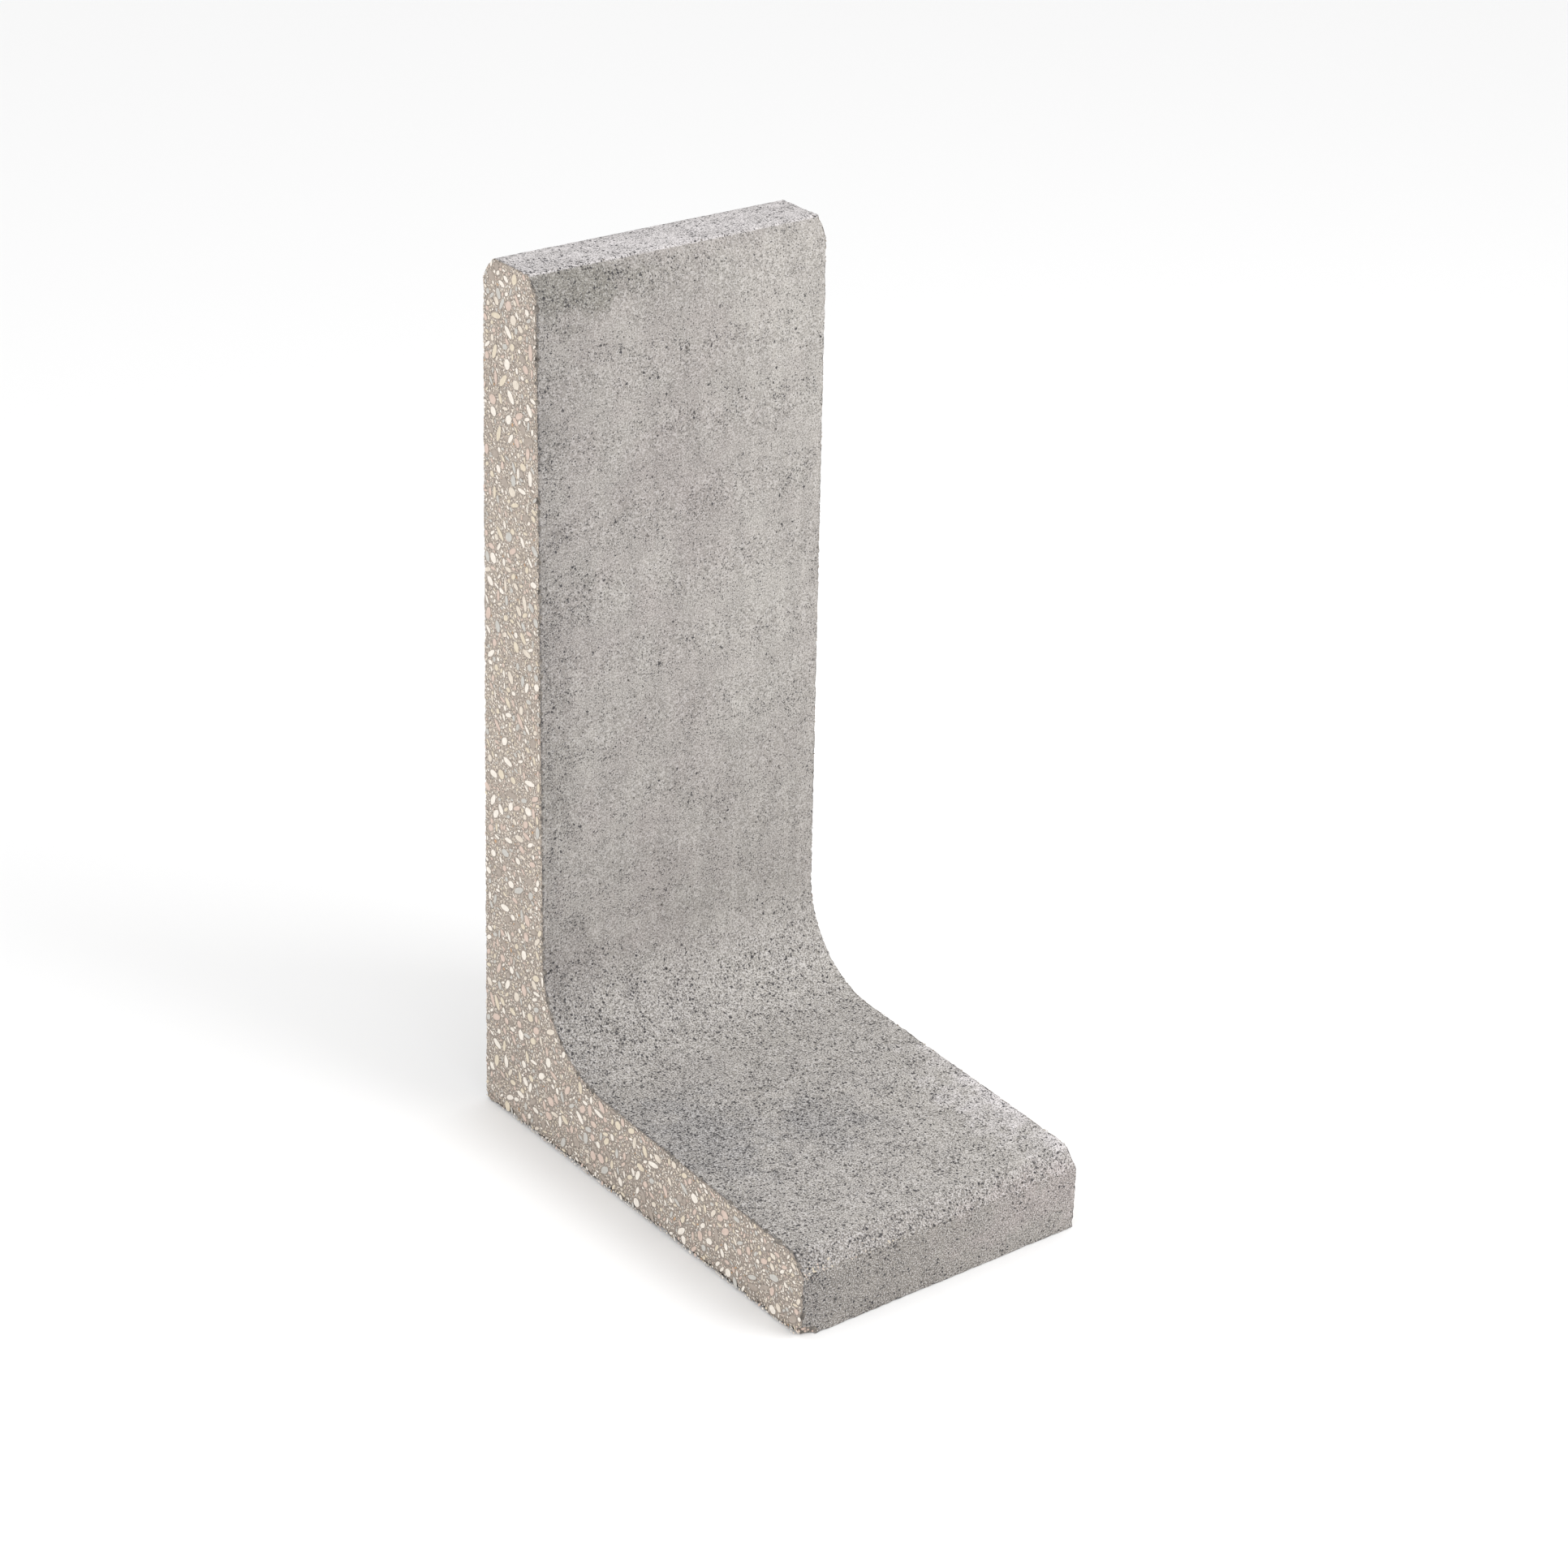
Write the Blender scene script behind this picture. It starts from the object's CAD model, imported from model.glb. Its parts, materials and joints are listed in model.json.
# %% [markdown]
# # A precast L-shaped retaining wall element
#
# The real object is one casting of grey concrete round a steel cage. The mould gives the stem, the
# foot and the fillet a closed skin with air holes in it. The two end faces are ground flat, so they
# show the pebbles and the sand inside. Almost everything that makes it look real is surface: worn
# arrises, chips, holes, pebbles and stains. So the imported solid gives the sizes, and this script
# builds the skin over it.

import json
import math

import bpy
import numpy as np
from mathutils import Matrix, Vector, kdtree
from mathutils.bvhtree import BVHTree

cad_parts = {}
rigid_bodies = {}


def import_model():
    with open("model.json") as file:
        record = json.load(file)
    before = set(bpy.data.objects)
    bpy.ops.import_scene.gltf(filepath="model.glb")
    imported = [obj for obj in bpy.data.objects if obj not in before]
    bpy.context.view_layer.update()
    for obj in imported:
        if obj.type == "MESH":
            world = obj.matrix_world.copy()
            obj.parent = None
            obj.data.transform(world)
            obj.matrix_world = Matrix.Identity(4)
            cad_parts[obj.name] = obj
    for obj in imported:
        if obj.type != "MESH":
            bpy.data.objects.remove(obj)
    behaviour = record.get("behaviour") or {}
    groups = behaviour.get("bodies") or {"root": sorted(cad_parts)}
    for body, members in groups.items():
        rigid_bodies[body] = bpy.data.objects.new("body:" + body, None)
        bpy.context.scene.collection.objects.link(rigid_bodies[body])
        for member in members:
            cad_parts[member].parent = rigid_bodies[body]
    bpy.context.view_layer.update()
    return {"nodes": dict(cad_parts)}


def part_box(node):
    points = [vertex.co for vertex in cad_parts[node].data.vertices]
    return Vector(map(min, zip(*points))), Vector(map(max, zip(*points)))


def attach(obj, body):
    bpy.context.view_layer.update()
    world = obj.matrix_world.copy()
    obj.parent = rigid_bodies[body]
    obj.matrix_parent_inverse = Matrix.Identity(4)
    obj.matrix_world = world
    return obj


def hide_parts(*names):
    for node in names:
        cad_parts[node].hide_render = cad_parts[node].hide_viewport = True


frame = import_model()
body_low, body_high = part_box("concrete_body")
print("element box in metres:", [round(v, 4) for v in body_high - body_low])

# %% [markdown]
# ## Working sizes
#
# The element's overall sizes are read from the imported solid, so the skin fits it whatever its size.
# The smaller sizes of the section, such as the chamfers, are the casting's own and are given here.

# %% Sizes of the section
HALF_LENGTH = body_high.x
BACK_Y = body_high.y
TOE_Y = body_low.y
TOP_Z = body_high.z
STEM_TOP_T = 0.102
STEM_ROOT_T = 0.122
TOE_T = 0.100
FOOT_ROOT_T = 0.119
FILLET_R = 0.124
TOP_CHAMFER = (0.016, 0.021)
TOE_CHAMFER = (0.020, 0.021)
GROUND_OFF = 0.0003  # the sand between the pebbles is ground this much lower than the pebbles

corner = np.array([BACK_Y - STEM_ROOT_T, FOOT_ROOT_T])
stem_top_inside = np.array([BACK_Y - STEM_TOP_T, TOP_Z])
toe_top = np.array([TOE_Y, TOE_T])


def unit(v):
    return v / np.linalg.norm(v)


up_stem = unit(stem_top_inside - corner)
out_foot = unit(toe_top - corner)
half_angle = math.acos(float(up_stem @ out_foot)) / 2
fillet_centre = corner + unit(up_stem + out_foot) * FILLET_R / math.sin(half_angle)
fillet_reach = FILLET_R / math.tan(half_angle)
fillet_top = corner + up_stem * fillet_reach
fillet_end = corner + out_foot * fillet_reach
print("fillet runs from", fillet_top.round(4), "to", fillet_end.round(4))

# %% [markdown]
# ## Helpers for node trees
#
# Geometry Nodes and shader nodes are built the same way: make a node, set its fields, link its
# sockets. Two short functions keep the rest of the script readable.


# %% Node helpers
def add_node(tree, kind, inputs=None, **fields):
    """Adds a node, sets its fields, then sets or links its inputs by name or number."""
    made = tree.nodes.new(kind)
    for field, value in fields.items():
        setattr(made, field, value)
    for key, value in (inputs or {}).items():
        socket = made.inputs[key]
        if isinstance(value, bpy.types.NodeSocket):
            tree.links.new(value, socket)
        else:
            socket.default_value = value
    return made


def math_node(tree, operation, *values, clamp=False):
    """A Math node whose inputs are numbers or sockets; gives its output socket."""
    made = add_node(tree, "ShaderNodeMath", operation=operation, use_clamp=clamp)
    for i, value in enumerate(values):
        if isinstance(value, bpy.types.NodeSocket):
            tree.links.new(value, made.inputs[i])
        else:
            made.inputs[i].default_value = value
    return made.outputs[0]


def vector_math(tree, operation, first, second):
    """A Vector Math node with two inputs; the second one of SCALE is a number."""
    key = 3 if operation == "SCALE" else 1
    return add_node(
        tree, "ShaderNodeVectorMath", {0: first, key: second}, operation=operation
    ).outputs[0]


def new_group(name, kind, inputs, outputs):
    """A node group with named inputs (name, socket type, default) and outputs (name, socket type)."""
    tree = bpy.data.node_groups.new(name, kind)
    for label, socket_type, default in inputs:
        socket = tree.interface.new_socket(label, in_out="INPUT", socket_type=socket_type)
        if default is not None:
            socket.default_value = default
    for label, socket_type in outputs:
        tree.interface.new_socket(label, in_out="OUTPUT", socket_type=socket_type)
    return tree, tree.nodes.new("NodeGroupInput"), tree.nodes.new("NodeGroupOutput")


def named(tree, name, data_type="FLOAT"):
    """The output of a Named Attribute node."""
    return add_node(
        tree, "GeometryNodeInputNamedAttribute", {"Name": name}, data_type=data_type
    ).outputs["Attribute"]


def run_nodes(obj, tree, values, name):
    """Runs a Geometry Nodes tree on obj with these named inputs, and gives a plain mesh object."""
    modifier = obj.modifiers.new("nodes", "NODES")
    modifier.node_group = tree
    for item in tree.interface.items_tree:
        if item.item_type == "SOCKET" and item.in_out == "INPUT" and item.name in values:
            modifier[item.identifier] = values[item.name]
    bpy.context.view_layer.update()
    evaluated = obj.evaluated_get(bpy.context.evaluated_depsgraph_get())
    mesh = bpy.data.meshes.new_from_object(evaluated)
    mesh.name = name
    made = bpy.data.objects.new(name, mesh)
    bpy.context.scene.collection.objects.link(made)
    source = obj.data
    bpy.data.objects.remove(obj)
    bpy.data.meshes.remove(source)
    triangles = sum(len(p.vertices) - 2 for p in mesh.polygons)
    print(name, "made with", len(mesh.vertices), "points and", triangles, "triangles")
    return made


# %% [markdown]
# ## Shader groups for concrete
#
# Cast concrete is never one grey. Clouds of paler and darker cement, streaks left by the mould,
# thousands of pores as fine as sand, and a few wider air holes all lie over each other. Each of these
# is a small group that puts out a mask, and every concrete finish here mixes them in its own way.


# %% Coordinates in millimetres
MM = 1000.0  # millimetres in a metre


def millimetres(tree):
    """Object coordinates in millimetres, so that every scale below can be read as a size."""
    place = add_node(tree, "ShaderNodeTexCoord")
    return vector_math(tree, "SCALE", place.outputs["Object"], MM)


# %% Shader group: clouds
def make_clouds():
    """Soft patches of a stated size. Stretch draws them out along an axis."""
    tree, inside, outside = new_group(
        "Clouds",
        "ShaderNodeTree",
        [
            ("Place", "NodeSocketVector", None),
            ("Size", "NodeSocketFloat", 60.0),
            ("Stretch", "NodeSocketVector", (1.0, 1.0, 1.0)),
            ("Contrast", "NodeSocketFloat", 3.0),
            ("Detail", "NodeSocketFloat", 6.0),
        ],
        [("Mask", "NodeSocketFloat")],
    )
    stretched = vector_math(tree, "DIVIDE", inside.outputs["Place"], inside.outputs["Stretch"])
    noise = add_node(
        tree,
        "ShaderNodeTexNoise",
        {
            "Vector": stretched,
            "Scale": math_node(tree, "DIVIDE", 1.0, inside.outputs["Size"]),
            "Detail": inside.outputs["Detail"],
            "Roughness": 0.6,
        },
    )
    centred = math_node(tree, "SUBTRACT", noise.outputs["Fac"], 0.5)
    mask = math_node(
        tree, "MULTIPLY_ADD", centred, inside.outputs["Contrast"], 0.5, clamp=True
    )
    tree.links.new(mask, outside.inputs["Mask"])
    return tree


clouds_group = make_clouds()


# %% Shader group: pores
DOT_EDGE = 7.0  # how sharply a pore or a speck ends


def make_pores():
    """Round dark pores. Only a share of the Voronoi cells is open, and each has its own radius."""
    tree, inside, outside = new_group(
        "Pores",
        "ShaderNodeTree",
        [
            ("Place", "NodeSocketVector", None),
            ("Spacing", "NodeSocketFloat", 3.0),
            ("Share", "NodeSocketFloat", 0.4),
            ("Radius", "NodeSocketFloat", 0.35),
        ],
        [("Mask", "NodeSocketFloat")],
    )
    wobble = add_node(
        tree,
        "ShaderNodeTexNoise",
        {
            "Vector": inside.outputs["Place"],
            "Scale": math_node(tree, "DIVIDE", 1.6, inside.outputs["Spacing"]),
            "Detail": 1.0,
        },
    )
    shift = vector_math(tree, "SUBTRACT", wobble.outputs["Color"], (0.5, 0.5, 0.5))
    shift = vector_math(tree, "SCALE", shift, inside.outputs["Spacing"])
    cells = add_node(
        tree,
        "ShaderNodeTexVoronoi",
        {
            "Vector": vector_math(tree, "ADD", inside.outputs["Place"], shift),
            "Scale": math_node(tree, "DIVIDE", 1.0, inside.outputs["Spacing"]),
        },
    )
    chance = add_node(
        tree, "ShaderNodeSeparateColor", {"Color": cells.outputs["Color"]}
    )
    is_open = math_node(
        tree, "LESS_THAN", chance.outputs["Red"], inside.outputs["Share"]
    )
    size = math_node(tree, "MULTIPLY_ADD", chance.outputs["Green"], 0.7, 0.45)
    radius = math_node(tree, "MULTIPLY", inside.outputs["Radius"], size)
    edge = math_node(tree, "SUBTRACT", radius, cells.outputs["Distance"])
    soft = math_node(tree, "MULTIPLY", edge, DOT_EDGE, clamp=True)
    tree.links.new(math_node(tree, "MULTIPLY", soft, is_open), outside.inputs["Mask"])
    return tree


pores_group = make_pores()


# %% Shader group: specks
def make_specks():
    """Ragged dark dots in some of the cells of a Voronoi pattern. Amount is their share."""
    tree, inside, outside = new_group(
        "Specks",
        "ShaderNodeTree",
        [
            ("Place", "NodeSocketVector", None),
            ("Size", "NodeSocketFloat", 2.0),
            ("Amount", "NodeSocketFloat", 0.5),
        ],
        [("Mask", "NodeSocketFloat")],
    )
    one_over_size = math_node(tree, "DIVIDE", 1.0, inside.outputs["Size"])
    fray = add_node(
        tree,
        "ShaderNodeTexNoise",
        {
            "Vector": inside.outputs["Place"],
            "Scale": math_node(tree, "MULTIPLY", one_over_size, 1.3),
            "Detail": 1.0,
        },
    )
    shift = vector_math(tree, "SCALE", fray.outputs["Color"], inside.outputs["Size"])
    frayed = vector_math(tree, "ADD", inside.outputs["Place"], shift)
    cells = add_node(tree, "ShaderNodeTexVoronoi", {"Vector": frayed, "Scale": one_over_size})
    parts = add_node(tree, "ShaderNodeSeparateColor", {"Color": cells.outputs["Color"]})
    filled = math_node(tree, "LESS_THAN", parts.outputs["Red"], inside.outputs["Amount"])
    reach = math_node(tree, "MULTIPLY_ADD", parts.outputs["Green"], 0.30, 0.22)
    edge = math_node(tree, "SUBTRACT", reach, cells.outputs["Distance"])
    mask = math_node(tree, "MULTIPLY", edge, DOT_EDGE, clamp=True)
    mask = math_node(tree, "MULTIPLY", mask, filled)
    tree.links.new(mask, outside.inputs["Mask"])
    return tree


specks_group = make_specks()


# %% Shader group: stain
def make_stain():
    """A blotch round a centre, with its own reach each way. Ragged is a noise that frays its edge."""
    tree, inside, outside = new_group(
        "Stain",
        "ShaderNodeTree",
        [
            ("Place", "NodeSocketVector", None),
            ("Centre", "NodeSocketVector", None),
            ("Reach", "NodeSocketVector", (50.0, 50.0, 50.0)),
            ("Ragged", "NodeSocketFloat", 0.5),
        ],
        [("Mask", "NodeSocketFloat")],
    )
    offset = vector_math(tree, "SUBTRACT", inside.outputs["Place"], inside.outputs["Centre"])
    scaled = vector_math(tree, "DIVIDE", offset, inside.outputs["Reach"])
    far = add_node(
        tree, "ShaderNodeVectorMath", {0: scaled}, operation="LENGTH"
    ).outputs["Value"]
    frayed = math_node(tree, "MULTIPLY_ADD", inside.outputs["Ragged"], 1.3, far)
    fade = add_node(
        tree,
        "ShaderNodeMapRange",
        {"Value": frayed, "From Min": 1.65, "From Max": 0.75},
        interpolation_type="SMOOTHSTEP",
    )
    tree.links.new(fade.outputs["Result"], outside.inputs["Mask"])
    return tree


stain_group = make_stain()


# %% Shader group: tint
def make_tint():
    """Lays one colour over another where a mask says so, by a stated share."""
    tree, inside, outside = new_group(
        "Tint",
        "ShaderNodeTree",
        [
            ("Colour", "NodeSocketColor", None),
            ("Over", "NodeSocketColor", None),
            ("Mask", "NodeSocketFloat", 0.0),
            ("Share", "NodeSocketFloat", 1.0),
        ],
        [("Colour", "NodeSocketColor")],
    )
    strength = math_node(
        tree, "MULTIPLY", inside.outputs["Mask"], inside.outputs["Share"], clamp=True
    )
    mixed = add_node(tree, "ShaderNodeMix", data_type="RGBA")
    tree.links.new(strength, mixed.inputs["Factor"])
    tree.links.new(inside.outputs["Colour"], mixed.inputs[6])
    tree.links.new(inside.outputs["Over"], mixed.inputs[7])
    tree.links.new(mixed.outputs[2], outside.inputs["Colour"])
    return tree


tint_group = make_tint()


# %% Helpers that place the groups
def place_group(tree, group, **values):
    """Adds a group node and sets or links its inputs by name; gives its first output."""
    made = add_node(tree, "ShaderNodeGroup", node_tree=group)
    for label, value in values.items():
        socket = made.inputs[label]
        if isinstance(value, bpy.types.NodeSocket):
            tree.links.new(value, socket)
        else:
            socket.default_value = value
    return made.outputs[0]


def moved(tree, place, shift):
    """The same coordinates moved, so that two layers of one pattern don't line up."""
    return vector_math(tree, "ADD", place, shift)


def clouds(tree, place, size, contrast, stretch=(1.0, 1.0, 1.0), detail=6.0, shift=(0.0, 0.0, 0.0)):
    return place_group(
        tree,
        clouds_group,
        Place=moved(tree, place, shift),
        Size=size,
        Stretch=stretch,
        Contrast=contrast,
        Detail=detail,
    )


def pores(tree, place, spacing, share, radius):
    return place_group(tree, pores_group, Place=place, Spacing=spacing, Share=share, Radius=radius)


def specks(tree, place, size, amount, shift=(0.0, 0.0, 0.0)):
    return place_group(
        tree, specks_group, Place=moved(tree, place, shift), Size=size, Amount=amount
    )


def stain(tree, place, centre, reach, ragged):
    return place_group(
        tree, stain_group, Place=place, Centre=centre, Reach=reach, Ragged=ragged
    )


def tint(tree, colour, over, mask, share=1.0):
    return place_group(tree, tint_group, Colour=colour, Over=over, Mask=mask, Share=share)


def ramp_between(tree, value, start, end):
    """0 below start, 1 above end, and a smooth rise between them; start may be above end."""
    made = add_node(
        tree,
        "ShaderNodeMapRange",
        {"Value": value, "From Min": start, "From Max": end},
        interpolation_type="SMOOTHSTEP",
    )
    return made.outputs["Result"]


def add_bump(tree, shader, height, strength, distance):
    """Fine relief on a shader: height drives a Bump node. Distance is in metres."""
    bump = add_node(
        tree, "ShaderNodeBump", {"Strength": strength, "Distance": distance, "Height": height}
    )
    tree.links.new(bump.outputs["Normal"], shader.inputs["Normal"])


def new_material(name):
    """A material with only a Principled BSDF, its tree and that shader."""
    material = bpy.data.materials.new(name)
    material.use_nodes = True
    shader = material.node_tree.nodes["Principled BSDF"]
    return material, material.node_tree, shader


# %% [markdown]
# ## The cast skin
#
# The skin is warm grey cement with a sandy, open surface. It is paler towards the far end, and darker
# in a band beside the near end, where water stood while it hardened. The stem carries upright streaks
# from the mould. The foot is a cooler grey with the most specks and holes, the toe's front face is
# brownish, and the top of the stem is the palest face. Stains that belong to one place are listed
# with their centre and reach, because no noise would put them there.

# %% Shades of the cast skin
CEMENT_MID = (0.360, 0.335, 0.311, 1)
CEMENT_PALE = (0.500, 0.476, 0.438, 1)
CEMENT_DARK = (0.180, 0.167, 0.156, 1)
CEMENT_COOL = (0.262, 0.264, 0.274, 1)
CEMENT_ROSE = (0.350, 0.306, 0.294, 1)
CEMENT_OLIVE = (0.205, 0.196, 0.166, 1)
CEMENT_TOP = (0.790, 0.755, 0.762, 1)
TOE_BROWN = (0.185, 0.160, 0.130, 1)
TOE_WARM = (0.400, 0.340, 0.325, 1)
CHAMFER_BROWN = (0.265, 0.236, 0.222, 1)
PORE_DARK = (0.040, 0.038, 0.042, 1)
LIME_WHITE = (0.680, 0.655, 0.655, 1)
LIME_PATCH = (0.840, 0.800, 0.810, 1)

# %% Stains that have their own place, in millimetres
DARK_STAINS = (
    # (centre, reach, shade, share)
    ((-150, 205, 1030), (130, 60, 62), CEMENT_OLIVE, 0.85),  # under the near top corner
    ((-200, 200, 880), (55, 60, 66), CEMENT_DARK, 0.40),
    ((-200, 195, 660), (85, 60, 150), CEMENT_DARK, 0.34),
    ((-190, 190, 470), (70, 60, 130), CEMENT_OLIVE, 0.34),
    ((-170, 150, 210), (150, 90, 100), CEMENT_DARK, 0.32),  # in the near half of the fillet
    ((-140, -60, 112), (110, 130, 50), CEMENT_COOL, 0.55),
    ((-10, -100, 110), (85, 80, 50), CEMENT_COOL, 0.45),
    ((-195, -310, 55), (130, 30, 70), CEMENT_DARK, 0.26),  # the toe's near end
)
PALE_STAINS = (
    ((165, 205, 960), (150, 60, 150), CEMENT_PALE, 0.50),
    ((110, 200, 610), (120, 60, 220), CEMENT_PALE, 0.45),
    ((60, 100, 150), (130, 60, 60), CEMENT_PALE, 0.35),
    ((205, -190, 110), (84, 200, 50), LIME_PATCH, 0.90),  # along the foot's far edge
    ((15, 200, 760), (80, 60, 170), CEMENT_ROSE, 0.40),
    ((170, -310, 60), (210, 30, 60), TOE_WARM, 0.70),  # the toe's far half
)


# %% Material: cast skin
def make_cast_skin():
    material, tree, shader = new_material("cast_skin")
    place = millimetres(tree)
    axis = add_node(tree, "ShaderNodeSeparateXYZ", {0: place})
    along, across, height = axis.outputs
    near_end = -HALF_LENGTH * MM
    top, toe = TOP_Z * MM, TOE_Y * MM
    near = ramp_between(tree, along, near_end + 55, near_end + 8)
    rim = ramp_between(tree, along, near_end + 4.2, near_end + 1.8)
    far = ramp_between(tree, along, -60.0, -near_end)
    on_foot = ramp_between(tree, height, 240.0, 130.0)
    on_top = ramp_between(tree, height, top - 3.5, top - 1.5)
    on_toe = ramp_between(tree, across, toe + 3.0, toe + 1.0)
    near_toe = ramp_between(tree, across, toe + 24.0, toe + 17.0)
    on_chamfer = math_node(tree, "MULTIPLY", near_toe, math_node(tree, "SUBTRACT", 1.0, on_toe))
    upright = math_node(tree, "SUBTRACT", 1.0, on_foot)

    broad = clouds(tree, place, 130.0, 3.2, detail=3.0)
    frays = clouds(tree, place, 38.0, 2.0, detail=5.0, shift=(191.0, 33.0, 7.0))
    patches = clouds(tree, place, 30.0, 4.2, detail=5.0, shift=(91.0, 13.0, 47.0))
    blotches = clouds(tree, place, 8.0, 4.0, detail=4.0, shift=(7.0, 43.0, 5.0))
    hue = clouds(tree, place, 60.0, 4.0, detail=3.0, shift=(40.0, 140.0, 240.0))
    streaks = clouds(tree, place, 15.0, 5.0, (1.0, 1.0, 10.0), detail=4.0, shift=(31.0, 0.0, 0.0))
    grain = clouds(tree, place, 1.8, 3.6, detail=1.0, shift=(7.0, 3.0, 5.0))

    colour = tint(tree, CEMENT_MID, CEMENT_PALE, broad, 0.45)
    colour = tint(tree, colour, CEMENT_ROSE, hue, 0.45)
    colour = tint(tree, colour, CEMENT_COOL, math_node(tree, "MULTIPLY", on_foot, hue), 0.32)
    colour = tint(tree, colour, CEMENT_PALE, on_foot, 0.50)
    colour = tint(tree, colour, TOE_BROWN, on_toe, 0.60)
    colour = tint(tree, colour, CHAMFER_BROWN, on_chamfer, 0.42)
    colour = tint(tree, colour, CEMENT_PALE, far, 0.30)
    dirt = math_node(tree, "MULTIPLY", near, 0.6)
    for centre, reach, shade, share in DARK_STAINS:
        mask = stain(tree, place, centre, reach, frays)
        colour = tint(tree, colour, shade, mask, share)
        dirt = math_node(tree, "MAXIMUM", dirt, mask)
    for centre, reach, shade, share in PALE_STAINS:
        colour = tint(tree, colour, shade, stain(tree, place, centre, reach, frays), share)
    colour = tint(tree, colour, CEMENT_DARK, near, 0.26)
    colour = tint(tree, colour, CEMENT_TOP, on_top, 0.85)

    colour = tint(tree, colour, CEMENT_DARK, math_node(tree, "MULTIPLY", streaks, upright), 0.22)
    colour = tint(tree, colour, CEMENT_DARK, patches, 0.13)
    colour = tint(tree, colour, CEMENT_DARK, blotches, 0.08)
    colour = tint(tree, colour, CEMENT_PALE, ramp_between(tree, blotches, 0.42, 0.10), 0.10)
    colour = tint(tree, colour, CEMENT_DARK, ramp_between(tree, grain, 0.45, 0.95), 0.50)
    colour = tint(tree, colour, LIME_WHITE, ramp_between(tree, grain, 0.48, 0.10), 0.28)
    foot_grain = math_node(tree, "MULTIPLY", on_foot, ramp_between(tree, grain, 0.45, 0.85))
    colour = tint(tree, colour, CEMENT_DARK, foot_grain, 0.34)
    foot_light = math_node(tree, "MULTIPLY", on_foot, ramp_between(tree, grain, 0.50, 0.15))
    colour = tint(tree, colour, LIME_WHITE, foot_light, 0.26)

    # specks gather where the skin is dirty or darker, and the foot has the widest ones
    gather = math_node(tree, "MULTIPLY_ADD", blotches, 0.30, math_node(tree, "MULTIPLY", dirt, 0.36))
    gather = math_node(tree, "MULTIPLY_ADD", patches, 0.34, gather)
    gather = math_node(tree, "MULTIPLY_ADD", on_foot, 0.30, gather)
    gather = math_node(tree, "MULTIPLY_ADD", on_toe, 0.10, gather)
    gather = math_node(tree, "MULTIPLY_ADD", on_top, 0.40, gather)
    fine = specks(tree, place, 2.0, math_node(tree, "ADD", gather, 0.06), shift=(3.0, 9.0, 1.0))
    gather_wide = math_node(tree, "MULTIPLY_ADD", on_foot, 0.14, gather)
    gather_wide = math_node(tree, "MULTIPLY_ADD", on_toe, -0.40, gather_wide)
    wide = specks(tree, place, 3.8, math_node(tree, "SUBTRACT", gather_wide, 0.34))
    pits = math_node(tree, "MAXIMUM", fine, wide)
    colour = tint(tree, colour, PORE_DARK, fine, 0.74)
    colour = tint(tree, colour, PORE_DARK, wide, 0.92)
    rim_broken = math_node(tree, "MULTIPLY", rim, ramp_between(tree, blotches, 0.20, 0.60))
    colour = tint(tree, colour, PORE_DARK, rim_broken, 0.62)
    tree.links.new(colour, shader.inputs["Base Color"])

    rough = math_node(tree, "MULTIPLY_ADD", grain, 0.14, 0.80)
    tree.links.new(rough, shader.inputs["Roughness"])
    shader.inputs["Specular IOR Level"].default_value = 0.35

    relief = math_node(tree, "MULTIPLY_ADD", pits, -1.0, math_node(tree, "MULTIPLY", grain, -0.5))
    add_bump(tree, shader, relief, strength=0.85, distance=0.0009)
    return material


cast_skin = make_cast_skin()

# %% [markdown]
# ## The ground end face, between the pebbles
#
# Grinding opens the mortar: beige cement with sand of every colour in it. Sand is too fine to model,
# so three sizes of Voronoi cells give the grains. Each grain takes its shade from its cell's own
# random colour. The pebbles themselves are modelled further down.

# %% Material: ground mortar
MORTAR = (0.425, 0.364, 0.310, 1)
MORTAR_DARK = (0.150, 0.126, 0.108, 1)
SAND_SIZES = ((3.2, 0.36), (2.0, 0.46), (1.3, 0.46))  # spacing in mm, largest share of it
SAND_EDGE = 9.0  # how sharply a grain ends
SAND_SHADES = (
    (0.00, (0.150, 0.126, 0.108, 1)),
    (0.26, (0.560, 0.490, 0.420, 1)),
    (0.48, (0.340, 0.285, 0.240, 1)),
    (0.60, (0.760, 0.700, 0.620, 1)),
    (0.84, (0.580, 0.480, 0.370, 1)),
    (0.92, (0.200, 0.180, 0.170, 1)),
)


def shade_ramp(tree, value, shades):
    """Turns a number into one of these shades, without mixing them."""
    ramp = add_node(tree, "ShaderNodeValToRGB", {"Fac": value})
    ramp.color_ramp.interpolation = "CONSTANT"
    while len(ramp.color_ramp.elements) < len(shades):
        ramp.color_ramp.elements.new(0.5)
    for element, (position, shade) in zip(ramp.color_ramp.elements, shades):
        element.position = position
    for element, (position, shade) in zip(ramp.color_ramp.elements, shades):
        element.color = shade
    return ramp.outputs["Color"]


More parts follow.
